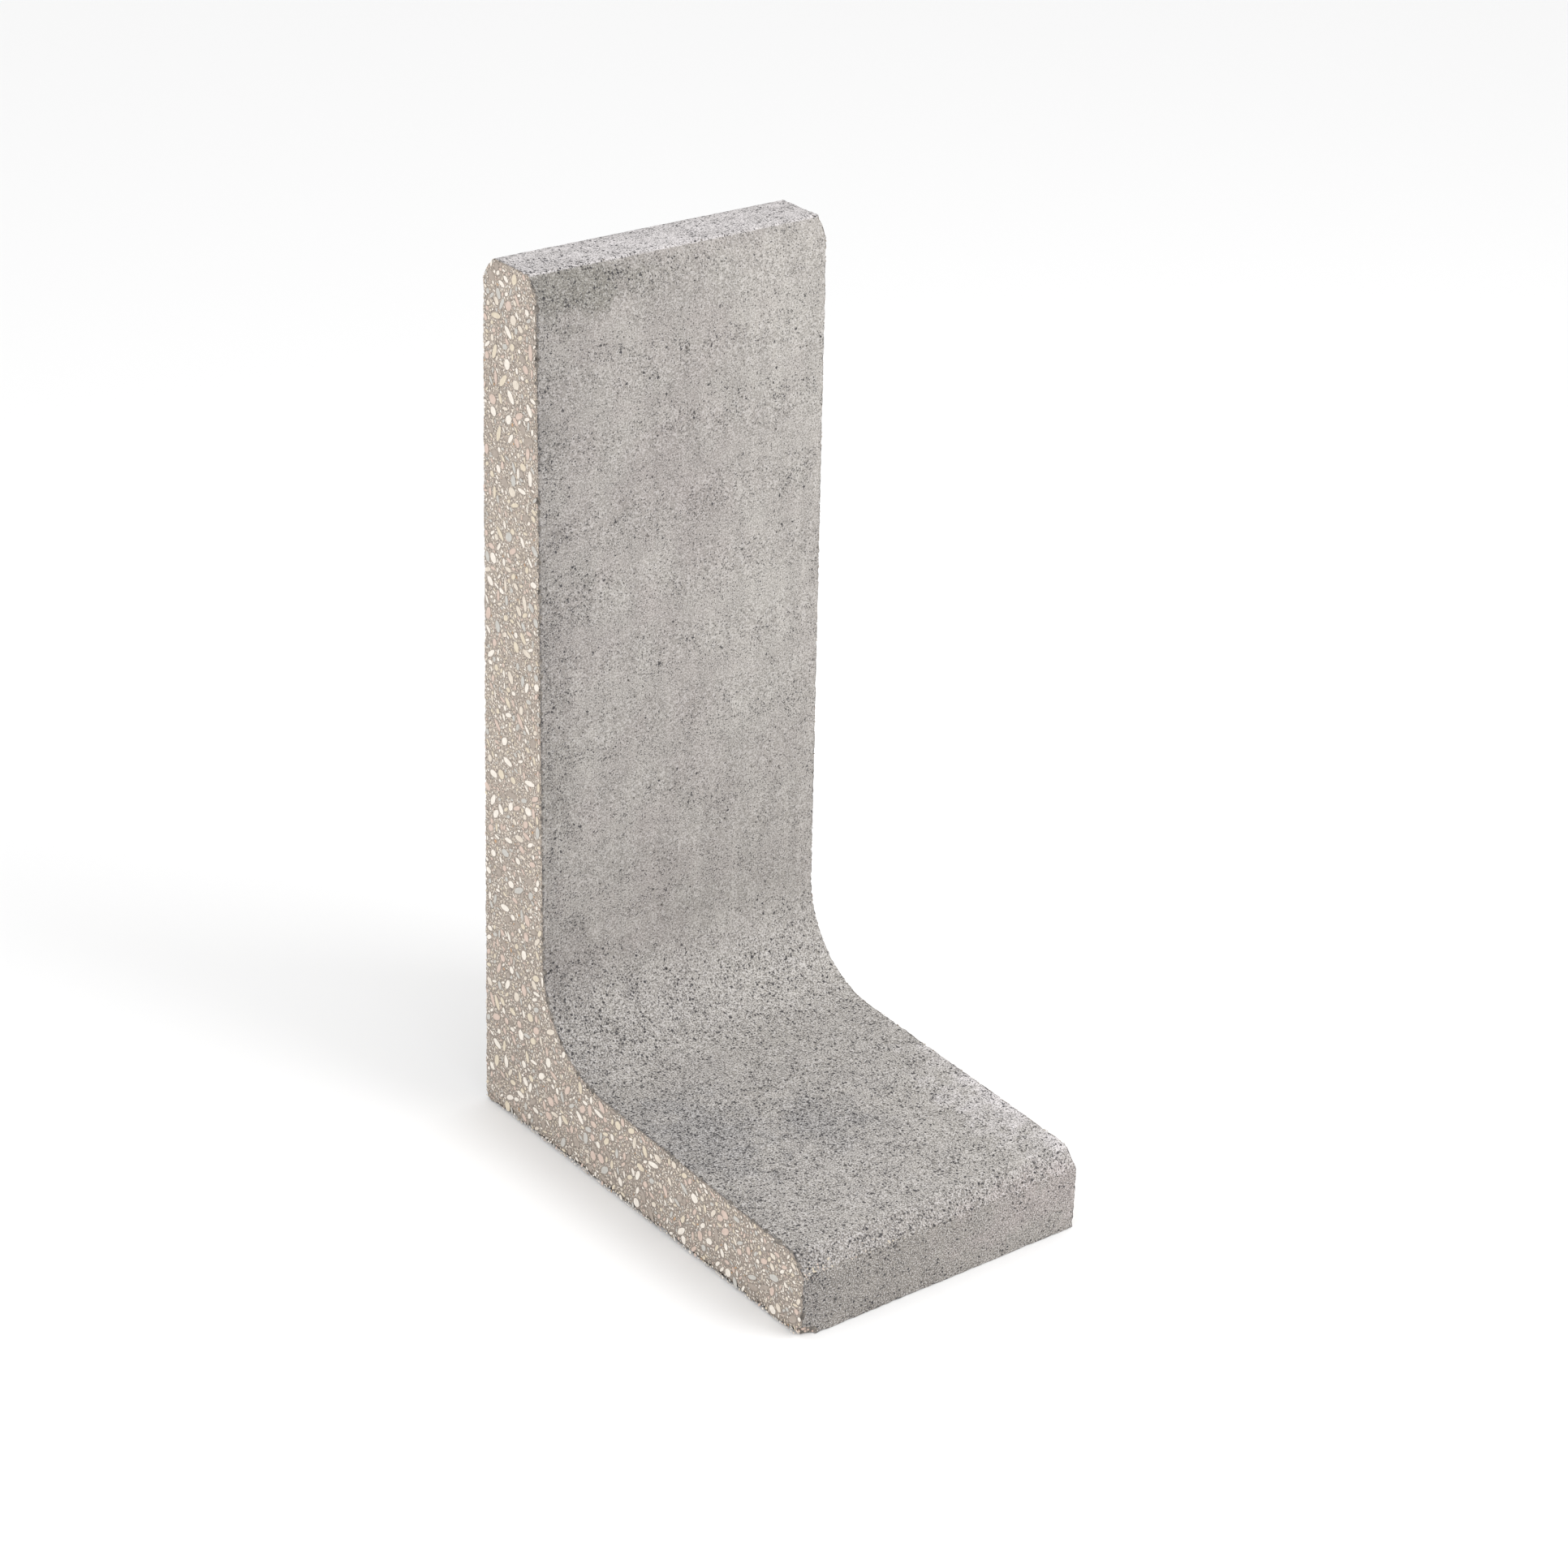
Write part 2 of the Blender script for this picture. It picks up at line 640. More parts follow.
def make_ground_mortar():
    material, tree, shader = new_material("ground_mortar")
    place = millimetres(tree)
    broad = clouds(tree, place, 90.0, 3.0)
    fine = clouds(tree, place, 1.6, 3.0, detail=2.0)
    height = add_node(tree, "ShaderNodeSeparateXYZ", {0: place}).outputs[2]
    damp = ramp_between(tree, height, 420.0, 60.0)
    colour = tint(tree, MORTAR, MORTAR_DARK, broad, 0.18)
    colour = tint(tree, colour, MORTAR_DARK, damp, 0.36)
    colour = tint(tree, colour, MORTAR_DARK, ramp_between(tree, fine, 0.6, 0.2), 0.90)
    for spacing, reach in SAND_SIZES:
        cells = add_node(tree, "ShaderNodeTexVoronoi", {"Vector": place, "Scale": 1.0 / spacing})
        parts = add_node(tree, "ShaderNodeSeparateColor", {"Color": cells.outputs["Color"]})
        size = math_node(tree, "MULTIPLY", parts.outputs["Green"], reach)
        edge = math_node(tree, "SUBTRACT", size, cells.outputs["Distance"])
        mask = math_node(tree, "MULTIPLY", edge, SAND_EDGE, clamp=True)
        shade = shade_ramp(tree, parts.outputs["Red"], SAND_SHADES)
        colour = tint(tree, colour, shade, mask, 0.95)
    holes = pores(tree, place, 6.0, 0.10, 0.16)
    colour = tint(tree, colour, MORTAR_DARK, holes, 0.7)
    tree.links.new(colour, shader.inputs["Base Color"])
    rough = math_node(tree, "MULTIPLY_ADD", fine, 0.2, 0.62)
    tree.links.new(rough, shader.inputs["Roughness"])
    relief = math_node(tree, "MULTIPLY_ADD", holes, -1.0, math_node(tree, "MULTIPLY", fine, 0.4))
    add_bump(tree, shader, relief, strength=0.5, distance=0.0004)
    return material


ground_mortar = make_ground_mortar()

# %% [markdown]
# ## Broken concrete
#
# Where an arris has chipped or an air bubble has opened, the surface inside is rough and darker, and
# its hollows hold dirt.


# %% Material: broken mortar
BROKEN_PALE = (0.400, 0.360, 0.318, 1)
BROKEN_DARK = (0.150, 0.136, 0.124, 1)
BROKEN_DIRT = (0.130, 0.118, 0.108, 1)


def make_broken_mortar():
    material, tree, shader = new_material("broken_mortar")
    place = millimetres(tree)
    lumps = clouds(tree, place, 3.5, 3.5, detail=4.0)
    fine = clouds(tree, place, 1.1, 3.0, detail=2.0, shift=(5.0, 9.0, 2.0))
    colour = tint(tree, BROKEN_DARK, BROKEN_PALE, lumps)
    colour = tint(tree, colour, BROKEN_DIRT, ramp_between(tree, fine, 0.5, 0.2), 0.6)
    tree.links.new(colour, shader.inputs["Base Color"])
    rough = math_node(tree, "MULTIPLY_ADD", fine, 0.1, 0.86)
    tree.links.new(rough, shader.inputs["Roughness"])
    relief = math_node(tree, "ADD", lumps, math_node(tree, "MULTIPLY", fine, 0.5))
    add_bump(tree, shader, relief, strength=0.9, distance=0.0008)
    return material


broken_mortar = make_broken_mortar()

# %% [markdown]
# ## The casting as a bent block
#
# The section is an L, but every part of it is a band between two lines: the outer line runs down the
# back and along the underside, and the inner line runs down the stem, round the fillet and along the
# foot. A point is then named by how far it is along the band, across it and along the length, so the
# whole surface is six regular grids that share their borders. That closes the block with no seam,
# and gives even faces that take displacement well.


# %% The band's two lines
def straight(start, end, count):
    """Points from start up to, but not including, end."""
    share = np.linspace(0, 1, count, endpoint=False)[:, None]
    return np.array(start) * (1 - share) + np.array(end) * share


def arc(centre, start, end, count):
    """Points on the short arc round centre from start up to, but not including, end."""
    first = math.atan2(*(np.array(start) - centre)[::-1])
    last = math.atan2(*(np.array(end) - centre)[::-1])
    turn = (last - first + math.pi) % (2 * math.pi) - math.pi
    angles = first + turn * np.linspace(0, 1, count, endpoint=False)
    return centre + np.linalg.norm(np.array(start) - centre) * np.stack(
        [np.cos(angles), np.sin(angles)], 1
    )


def inner_stem_at(z):
    """The point of the stem's inner line at this height."""
    return corner + (stem_top_inside - corner) * (z - corner[1]) / (TOP_Z - corner[1])


def inner_foot_at(y):
    """The point of the foot's inner line this far across."""
    return corner + (toe_top - corner) * (y - corner[0]) / (TOE_Y - corner[0])


top_in, top_down = TOP_CHAMFER
toe_in, toe_down = TOE_CHAMFER
chamfer_foot = inner_stem_at(TOP_Z - top_down)
toe_edge = inner_foot_at(TOE_Y + toe_in)
fillet_middle = fillet_centre - unit(up_stem + out_foot) * FILLET_R
CELLS = {"chamfer": 4, "stem": 132, "fillet": 22, "foot": 62, "toe": 4}
EASE = 0.0045  # the mould's own rounding where a chamfer meets the face
EASE_CELLS = 5


def eased(start, bend, end, first_cells, last_cells):
    """Points from start up to end, with the corner at bend rounded over EASE on both sides."""
    start, bend, end = (np.array(p, float) for p in (start, bend, end))
    entry = bend + unit(start - bend) * EASE
    leave = bend + unit(end - bend) * EASE
    t = np.linspace(0, 1, EASE_CELLS, endpoint=False)[:, None]
    curve = (1 - t) ** 2 * entry + 2 * t * (1 - t) * bend + t**2 * leave
    return np.concatenate(
        [straight(start, entry, first_cells), curve, straight(leave, end, last_cells)]
    )


inner = np.concatenate(
    [
        eased(
            (stem_top_inside[0] + top_in, TOP_Z),
            chamfer_foot,
            fillet_top,
            CELLS["chamfer"],
            CELLS["stem"],
        ),
        arc(fillet_centre, fillet_top, fillet_middle, CELLS["fillet"]),
        arc(fillet_centre, fillet_middle, fillet_end, CELLS["fillet"]),
        eased(fillet_end, toe_edge, (TOE_Y, TOE_T - toe_down), CELLS["foot"], CELLS["toe"]),
        [(TOE_Y, TOE_T - toe_down)],
    ]
)
TOP_ROUND = 0.007  # the outer top edge is rounded over this much beyond its chamfer


def rounded_edge(start, first_bend, last_bend, end, count):
    """A soft curve inside the corners of the four points, from start up to end."""
    t = np.linspace(0, 1, count, endpoint=False)[:, None]
    corners = [np.array(p, float) for p in (start, first_bend, last_bend, end)]
    weights = ((1 - t) ** 3, 3 * t * (1 - t) ** 2, 3 * t**2 * (1 - t), t**3)
    return sum(w * c for w, c in zip(weights, corners))


outer = np.concatenate(
    [
        rounded_edge(
            (BACK_Y - top_in - TOP_ROUND, TOP_Z),
            (BACK_Y - top_in, TOP_Z),
            (BACK_Y, TOP_Z - top_down),
            (BACK_Y, TOP_Z - top_down - TOP_ROUND),
            CELLS["chamfer"] + EASE_CELLS,
        ),
        straight((BACK_Y, TOP_Z - top_down - TOP_ROUND), (BACK_Y, fillet_top[1]), CELLS["stem"]),
        straight((BACK_Y, fillet_top[1]), (BACK_Y, 0), CELLS["fillet"]),
        straight((BACK_Y, 0), (fillet_end[0], 0), CELLS["fillet"]),
        eased((fillet_end[0], 0), (toe_edge[0], 0), (TOE_Y, 0), CELLS["foot"], CELLS["toe"]),
        [(TOE_Y, 0)],
    ]
)
print("the band has", len(inner) - 1, "cells along it")

# %% The block's six grids
ACROSS_CELLS = 12
LENGTH_CELLS = 42
RIM_LOOPS = np.array([0.0, 0.0010, 0.0026])  # close loops, so that a worn arris stays narrow


def rimmed(length, cells):
    """Even cells from 0 to length, with the rim loops at both ends."""
    rest = np.linspace(RIM_LOOPS[-1], length - RIM_LOOPS[-1], cells + 1)[1:-1]
    return np.concatenate([RIM_LOOPS, rest, length - RIM_LOOPS[::-1]])


end_x = HALF_LENGTH - GROUND_OFF
length_x = rimmed(2 * end_x, LENGTH_CELLS) - end_x
share = rimmed(STEM_TOP_T, ACROSS_CELLS) / STEM_TOP_T
section = outer[:, None, :] * (1 - share)[None, :, None] + inner[:, None, :] * share[None, :, None]


def build_block():
    """The closed surface of the bent block, as vertices, faces and a mask of the end faces."""
    nu, nv, nx = section.shape[0], section.shape[1], len(length_x)
    on_surface = np.zeros((nu, nv, nx), bool)
    on_surface[[0, -1]] = on_surface[:, [0, -1]] = on_surface[:, :, [0, -1]] = True
    number = np.full((nu, nv, nx), -1)
    number[on_surface] = np.arange(on_surface.sum())
    u, v, x = np.nonzero(on_surface)
    points = np.column_stack([length_x[x], section[u, v]])

    def quads(grid, flip):
        a, b, c, d = grid[:-1, :-1], grid[1:, :-1], grid[1:, 1:], grid[:-1, 1:]
        faces = np.stack([a, b, c, d], -1).reshape(-1, 4)
        return faces[:, ::-1] if flip else faces

    sides = [
        (number[0], False),
        (number[-1], True),
        (number[:, 0], True),
        (number[:, -1], False),
        (number[:, :, 0], False),
        (number[:, :, -1], True),
    ]
    faces = [quads(grid, flip) for grid, flip in sides]
    is_end = np.concatenate([np.full(len(f), i >= 4) for i, f in enumerate(faces)])
    return points, np.concatenate(faces), is_end


block_points, block_faces, block_ends = build_block()


def mesh_from(name, points, faces):
    """A new object with this mesh, linked to the scene."""
    mesh = bpy.data.meshes.new(name)
    mesh.from_pydata([tuple(p) for p in points], [], [tuple(map(int, f)) for f in faces])
    mesh.update()
    made = bpy.data.objects.new(name, mesh)
    bpy.context.scene.collection.objects.link(made)
    return made


block = mesh_from("block", block_points, block_faces)
volume = sum(
    p.center.dot(p.normal) * p.area / 3 for p in block.data.polygons
)  # positive when the faces point outwards
print("block:", len(block_faces), "faces, volume", round(volume * 1000, 2), "litres")

# %% [markdown]
# ## The arrises
#
# An arris is the sharp line where two faces meet. On a real casting they are the first thing to wear
# and chip. Every arris is stored as a polyline, once. The lines give each vertex its distance to the
# nearest arris, and later they carry the chips.

# %% Arris lines
near_x, far_x = -end_x, end_x


def end_line(line, x):
    """The band's inner or outer line, at this place along the length."""
    return np.column_stack([np.full(len(line), x), line])


def along_length(y, z, count=66):
    """A line from the near end to the far one."""
    xs = np.linspace(near_x, far_x, count)
    return np.column_stack([xs, np.full(count, y), np.full(count, z)])


def between(first, last, count=20):
    return np.array(first) + (np.array(last) - np.array(first)) * np.linspace(0, 1, count)[:, None]


arrises = {
    "near inside": end_line(inner, near_x),
    "near outside": end_line(outer, near_x),
    "far inside": end_line(inner, far_x),
    "far outside": end_line(outer, far_x),
    "near top": between((near_x, *outer[0]), (near_x, *inner[0])),
    "far top": between((far_x, *outer[0]), (far_x, *inner[0])),
    "near toe": between((near_x, *outer[-1]), (near_x, *inner[-1])),
    "far toe": between((far_x, *outer[-1]), (far_x, *inner[-1])),
    "top inside": along_length(*inner[0]),
    "top chamfer inside": along_length(*chamfer_foot),
    "top outside": along_length(*outer[0]),
    "top chamfer outside": along_length(BACK_Y, TOP_Z - top_down),
    "toe chamfer top": along_length(*toe_edge),
    "toe chamfer foot": along_length(*inner[-1]),
    "toe bottom": along_length(TOE_Y, 0.0),
    "back bottom": along_length(BACK_Y, 0.0),
}
line_points = np.concatenate(list(arrises.values()))
tree_of_lines = kdtree.KDTree(len(line_points))
for i, point in enumerate(line_points):
    tree_of_lines.insert(point, i)
tree_of_lines.balance()
distance = np.array([tree_of_lines.find(p)[2] for p in block_points])
print(len(arrises), "arrises;", int((distance < 0.004).sum()), "vertices within 4 mm of one")

# %% [markdown]
# ## Weathering the block with Geometry Nodes
#
# The skin follows rules, so a node tree makes it. The mould's face is slightly wavy. Arrises are worn
# round. Air holes and chips are cut out as real hollows with a boolean, because a sharp rim is what
# makes a hole read as a hole. Everything moves or cuts inwards, so the casting never grows past its
# drawn size.

# %% Attributes that steer the weathering
WEAR_REACH = 0.0022
SCUFF_REACH = 0.006
HOLE_MARGIN = 0.006  # air holes keep this far from an arris
NEAR_BAND = 0.03  # the near end has more holes over about this length
TOLERANCE = 1e-4
mesh = block.data
wear = np.exp(-((distance / WEAR_REACH) ** 2))
at_end = np.abs(np.abs(block_points[:, 0]) - end_x) < 1e-6
y, z = block_points[:, 1], block_points[:, 2]
on_foot_top = np.clip((0.20 - z) / 0.08, 0, 1) * (z > 0.05) * (y < 0.2)
plain_face = (np.abs(y - BACK_Y) < TOLERANCE) | (z < TOLERANCE)  # the back and the underside
near_band = np.exp(-(block_points[:, 0] + HALF_LENGTH) / NEAR_BAND)
hole_weight = np.clip(0.12 + 0.88 * on_foot_top + 0.25 * near_band, 0, 1)
hole_weight *= np.where(plain_face, 0.25, 1.0)
hole_weight[at_end] = 0.0
hole_weight[distance < HOLE_MARGIN] = 0.0
# the near bottom arris was scuffed when the element was set down
near_bottom = np.hypot(block_points[:, 0] + end_x, z)
scuff = np.exp(-((near_bottom / SCUFF_REACH) ** 2))
for name, values in (
    ("wear", wear),
    ("scuff", scuff),
    ("ground", at_end * 1.0),
    ("hole_weight", hole_weight),
):
    stored = mesh.attributes.new(name, "FLOAT", "POINT")
    stored.data.foreach_set("value", values.astype(np.float32))
finish = mesh.attributes.new("is_end", "BOOLEAN", "FACE")
finish.data.foreach_set("value", block_ends)


# %% Geometry Nodes: a lump
def lump(tree, seed, detail_size, fineness):
    """An icosphere of radius 1 with its points pushed in and out."""
    ball = add_node(
        tree, "GeometryNodeMeshIcoSphere", {"Radius": 1.0, "Subdivisions": fineness}
    )
    noise = add_node(
        tree,
        "ShaderNodeTexNoise",
        {"W": float(seed), "Scale": detail_size, "Detail": 1.0},
        noise_dimensions="4D",
    )
    place = add_node(tree, "GeometryNodeInputPosition").outputs[0]
    swell = math_node(tree, "MULTIPLY_ADD", noise.outputs["Fac"], 1.1, 0.45)
    return add_node(
        tree,
        "GeometryNodeSetPosition",
        {"Geometry": ball.outputs["Mesh"], "Position": vector_math(tree, "SCALE", place, swell)},
    ).outputs[0]


# %% Geometry Nodes: helpers
FULL_TURN = 6.28


def random_float(tree, low, high, seed):
    made = add_node(tree, "FunctionNodeRandomValue", data_type="FLOAT")
    for i, value in ((2, low), (3, high), (8, seed)):
        if isinstance(value, bpy.types.NodeSocket):
            tree.links.new(value, made.inputs[i])
        else:
            made.inputs[i].default_value = value
    return made.outputs[1]


def random_vector(tree, low, high, seed):
    made = add_node(tree, "FunctionNodeRandomValue", data_type="FLOAT_VECTOR")
    made.inputs[0].default_value = low
    made.inputs[1].default_value = high
    made.inputs[8].default_value = seed
    return made.outputs[0]


def any_turn(tree, seed):
    """A random rotation for each point."""
    angles = random_vector(tree, (0, 0, 0), (FULL_TURN,) * 3, seed)
    return add_node(tree, "FunctionNodeEulerToRotation", {0: angles}).outputs[0]


def noise_at(tree, place, scale, detail, roughness=0.5):
    return add_node(
        tree,
        "ShaderNodeTexNoise",
        {"Vector": place, "Scale": scale, "Detail": detail, "Roughness": roughness},
    ).outputs["Fac"]


def cut_off(tree, value, low, high):
    """0 below low, 1 above high and a straight rise between them."""
    return add_node(
        tree, "ShaderNodeMapRange", {"Value": value, "From Min": low, "From Max": high}
    ).outputs["Result"]


def with_material(tree, geometry, material, selection=True):
    """The geometry with this material on its selected faces."""
    return add_node(
        tree,
        "GeometryNodeSetMaterial",
        {"Geometry": geometry, "Selection": selection, "Material": material},
    ).outputs[0]


def realized(tree, instances):
    return add_node(tree, "GeometryNodeRealizeInstances", {"Geometry": instances}).outputs[0]


def less(tree, body, cutters):
    """The body less these shapes."""
    cut = add_node(tree, "GeometryNodeMeshBoolean", operation="DIFFERENCE", solver="MANIFOLD")
    tree.links.new(body, cut.inputs["Mesh 1"])
    for cutter in cutters:
        tree.links.new(cutter, cut.inputs["Mesh 2"])
    return cut.outputs["Mesh"]


# %% Geometry Nodes: waves, wear and scuffs
def pushed_in(tree, inside, place):
    """How each point moves: a slight wave of the mould, worn arrises and the scuffed one."""
    cast_only = math_node(tree, "SUBTRACT", 1.0, named(tree, "ground"))
    wave = math_node(tree, "MULTIPLY", noise_at(tree, place, 22.0, 3.0), inside.outputs["Waviness"])
    wave = math_node(tree, "MULTIPLY", wave, cast_only)
    ragged = noise_at(tree, place, 190.0, 3.0, roughness=0.65)
    ragged = math_node(tree, "POWER", math_node(tree, "MULTIPLY", ragged, 1.6), 3.0)
    worn = math_node(tree, "MULTIPLY", ragged, inside.outputs["Wear depth"])
    worn = math_node(tree, "MULTIPLY", worn, named(tree, "wear"))
    patches = cut_off(tree, noise_at(tree, place, 42.0, 3.0), 0.40, 0.75)
    scuffed = math_node(tree, "MULTIPLY", patches, inside.outputs["Scuff depth"])
    scuffed = math_node(tree, "MULTIPLY", scuffed, named(tree, "scuff"))
    depth = math_node(tree, "ADD", math_node(tree, "ADD", wave, worn), scuffed)
    normal = add_node(tree, "GeometryNodeInputNormal").outputs[0]
    return vector_math(tree, "SCALE", normal, math_node(tree, "MULTIPLY", depth, -1.0))


# %% Geometry Nodes: air holes
MOST_HOLES = 60000.0  # for each square metre, before the spacing thins them


def hole_cutters(tree, inside, skin, density, step, kind):
    """Lumps of one kind of hole, scattered on the skin where the density puts them."""
    points = add_node(
        tree,
        "GeometryNodeDistributePointsOnFaces",
        {
            "Mesh": skin,
            "Distance Min": inside.outputs[kind + " spacing"],
            "Density Max": MOST_HOLES,
            "Density Factor": density,
            "Seed": math_node(tree, "ADD", inside.outputs["Seed"], float(11 * step)),
        },
        distribute_method="POISSON",
    ).outputs["Points"]
    squeeze = random_vector(tree, (0.55, 0.35, 0.45), (1.0, 0.75, 1.0), 5 + step)
    scale = math_node(tree, "POWER", random_float(tree, 0.35, 1.0, 21 + step), 1.5)
    scale = math_node(tree, "MULTIPLY", scale, inside.outputs[kind + " radius"])
    holes = add_node(
        tree,
        "GeometryNodeInstanceOnPoints",
        {
            "Points": points,
            "Instance": lump(tree, 2 + step, 1.1, 2 - step),
            "Rotation": any_turn(tree, 31 + step),
            "Scale": vector_math(tree, "SCALE", squeeze, scale),
        },
    ).outputs[0]
    return with_material(tree, realized(tree, holes), inside.outputs["Broken"])


# %% Geometry Nodes: chips and the broken corner
CHIP_JITTER = 0.0012  # how far a chip may lie off its arris
SMALLEST_CHIP = 0.0009
CHIP_SETS = 3


def chip_cutters(tree, inside):
    """Lumps on the arris lines. Neighbours go in different sets, because the lumps of one set
    mustn't overlap."""
    lines = add_node(tree, "GeometryNodeObjectInfo", {"Object": inside.outputs["Arris lines"]})
    curve = add_node(tree, "GeometryNodeMeshToCurve", {"Mesh": lines.outputs["Geometry"]}).outputs[0]
    spots = add_node(
        tree,
        "GeometryNodeCurveToPoints",
        {"Curve": curve, "Length": inside.outputs["Chip spacing"]},
        mode="LENGTH",
    ).outputs["Points"]
    jitter = random_vector(tree, (-CHIP_JITTER,) * 3, (CHIP_JITTER,) * 3, 51)
    spots = add_node(
        tree, "GeometryNodeSetPosition", {"Geometry": spots, "Offset": jitter}
    ).outputs[0]
    chance = math_node(tree, "POWER", random_float(tree, 0.0, 1.0, 61), 1.7)
    chip_size = math_node(tree, "MULTIPLY", named(tree, "chip_size"), chance)
    large_enough = add_node(
        tree, "FunctionNodeCompare", {0: chip_size, 1: SMALLEST_CHIP}, operation="GREATER_THAN"
    ).outputs[0]
    stretch = random_vector(tree, (0.7, 0.6, 0.6), (1.3, 1.1, 1.1), 71)
    size = vector_math(tree, "SCALE", stretch, chip_size)
    turn = any_turn(tree, 81)
    index = add_node(tree, "GeometryNodeInputIndex").outputs[0]
    cutters = []
    for number in range(CHIP_SETS):
        remainder = math_node(tree, "MODULO", index, float(CHIP_SETS))
        in_set = add_node(  # input 12 is the tolerance
            tree,
            "FunctionNodeCompare",
            {0: remainder, 1: float(number), 12: 0.1},
            operation="EQUAL",
        ).outputs[0]
        chosen = add_node(
            tree, "FunctionNodeBooleanMath", {0: in_set, 1: large_enough}, operation="AND"
        ).outputs[0]
        chips = add_node(
            tree,
            "GeometryNodeInstanceOnPoints",
            {
                "Points": spots,
                "Selection": chosen,
                "Instance": lump(tree, 9 + number, 1.3, 1),
                "Rotation": turn,
                "Scale": size,
            },
        ).outputs[0]
        cutters.append(with_material(tree, realized(tree, chips), inside.outputs["Broken"]))
    return cutters


def corner_cutter(tree, inside):
    """The larger piece that is missing from the near bottom corner of the toe."""
    piece = add_node(
        tree,
        "GeometryNodeTransform",
        {
            "Geometry": lump(tree, 31, 1.6, 3),
            "Translation": inside.outputs["Break place"],
            "Scale": inside.outputs["Break size"],
        },
    ).outputs[0]
    return with_material(tree, piece, inside.outputs["Broken"])


# %% Geometry Nodes: the weathering tree
SHARP_FROM = math.radians(33)  # edges that turn further than this stay sharp


def shaded(tree, geometry):
    """Smooth faces with sharp rims."""
    angle = add_node(tree, "GeometryNodeInputMeshEdgeAngle").outputs[0]
    soft_edge = add_node(
        tree, "FunctionNodeCompare", {0: angle, 1: SHARP_FROM}, operation="LESS_THAN"
    ).outputs[0]
    for domain, smooth in (("EDGE", soft_edge), ("FACE", True)):
        geometry = add_node(
            tree,
            "GeometryNodeSetShadeSmooth",
            {"Geometry": geometry, "Shade Smooth": smooth},
            domain=domain,
        ).outputs[0]
    return geometry


def make_weathering():
    tree, inside, outside = new_group(
        "Weathered casting",
        "GeometryNodeTree",
        [
            ("Block", "NodeSocketGeometry", None),
            ("Arris lines", "NodeSocketObject", None),
            ("Waviness", "NodeSocketFloat", None),
            ("Wear depth", "NodeSocketFloat", None),
            ("Scuff depth", "NodeSocketFloat", None),
            ("Wide hole spacing", "NodeSocketFloat", None),
            ("Wide hole radius", "NodeSocketFloat", None),
            ("Hole spacing", "NodeSocketFloat", None),
            ("Hole radius", "NodeSocketFloat", None),
            ("Chip spacing", "NodeSocketFloat", None),
            ("Break place", "NodeSocketVector", None),
            ("Break size", "NodeSocketVector", None),
            ("Skin", "NodeSocketMaterial", None),
            ("Ground", "NodeSocketMaterial", None),
            ("Broken", "NodeSocketMaterial", None),
            ("Seed", "NodeSocketInt", None),
        ],
        [("Casting", "NodeSocketGeometry")],
    )
    place = add_node(tree, "GeometryNodeInputPosition").outputs[0]
    wavy = add_node(
        tree,
        "GeometryNodeSetPosition",
        {"Geometry": inside.outputs["Block"], "Offset": pushed_in(tree, inside, place)},
    ).outputs[0]
    body = with_material(tree, wavy, inside.outputs["Skin"])
    body = with_material(tree, body, inside.outputs["Ground"], named(tree, "is_end", "BOOLEAN"))
    cluster = cut_off(tree, noise_at(tree, place, 24.0, 1.0), 0.42, 0.60)
    density = math_node(tree, "MULTIPLY", named(tree, "hole_weight"), cluster)
    for step, kind in enumerate(("Wide hole", "Hole")):
        body = less(tree, body, [hole_cutters(tree, inside, wavy, density, step, kind)])
    body = less(tree, body, [*chip_cutters(tree, inside), corner_cutter(tree, inside)])
    tree.links.new(realized(tree, shaded(tree, body)), outside.inputs[0])
    return tree


weathering = make_weathering()

# %% [markdown]
# ## Where the chips are
#
# Chips aren't even. The bottom arrises took the knocks when the element was set down and slid, and
# the near end is rougher than the far one. Each line carries the size of its chips along it.

# %% Chip sizes along the arrises
CHIP_SIZES = {
    "near inside": 0.0052,
    "near outside": 0.0032,
    "far inside": 0.0017,
    "far outside": 0.0028,
    "near top": 0.0030,
    "far top": 0.0016,
    "near toe": 0.0048,
    "far toe": 0.0022,
    "top inside": 0.0016,
    "top chamfer inside": 0.0010,
    "top outside": 0.0016,
    "top chamfer outside": 0.0010,
    "toe chamfer top": 0.0012,
    "toe chamfer foot": 0.0024,
    "toe bottom": 0.0026,
    "back bottom": 0.0034,
}
NEAR_BOTTOM_CHIPS = 0.0080


def build_arris_lines():
    points, edges, sizes = [], [], []
    for name, line in arrises.items():
        start = len(points)
        points += [tuple(p) for p in line]
        edges += [(i, i + 1) for i in range(start, start + len(line) - 1)]
        size = np.full(len(line), CHIP_SIZES[name])
        if name == "near outside":
            size[line[:, 2] < 0.002] = NEAR_BOTTOM_CHIPS
        if name == "toe chamfer foot":
            size[line[:, 0] > -0.06] *= 0.5  # it is cleaner away from the near end
        sizes.append(size)
    mesh = bpy.data.meshes.new("arris_lines")
    mesh.from_pydata(points, edges, [])
    stored = mesh.attributes.new("chip_size", "FLOAT", "POINT")
    stored.data.foreach_set("value", np.concatenate(sizes).astype(np.float32))
    made = bpy.data.objects.new("arris_lines", mesh)
    bpy.context.scene.collection.objects.link(made)
    return made


arris_lines = build_arris_lines()

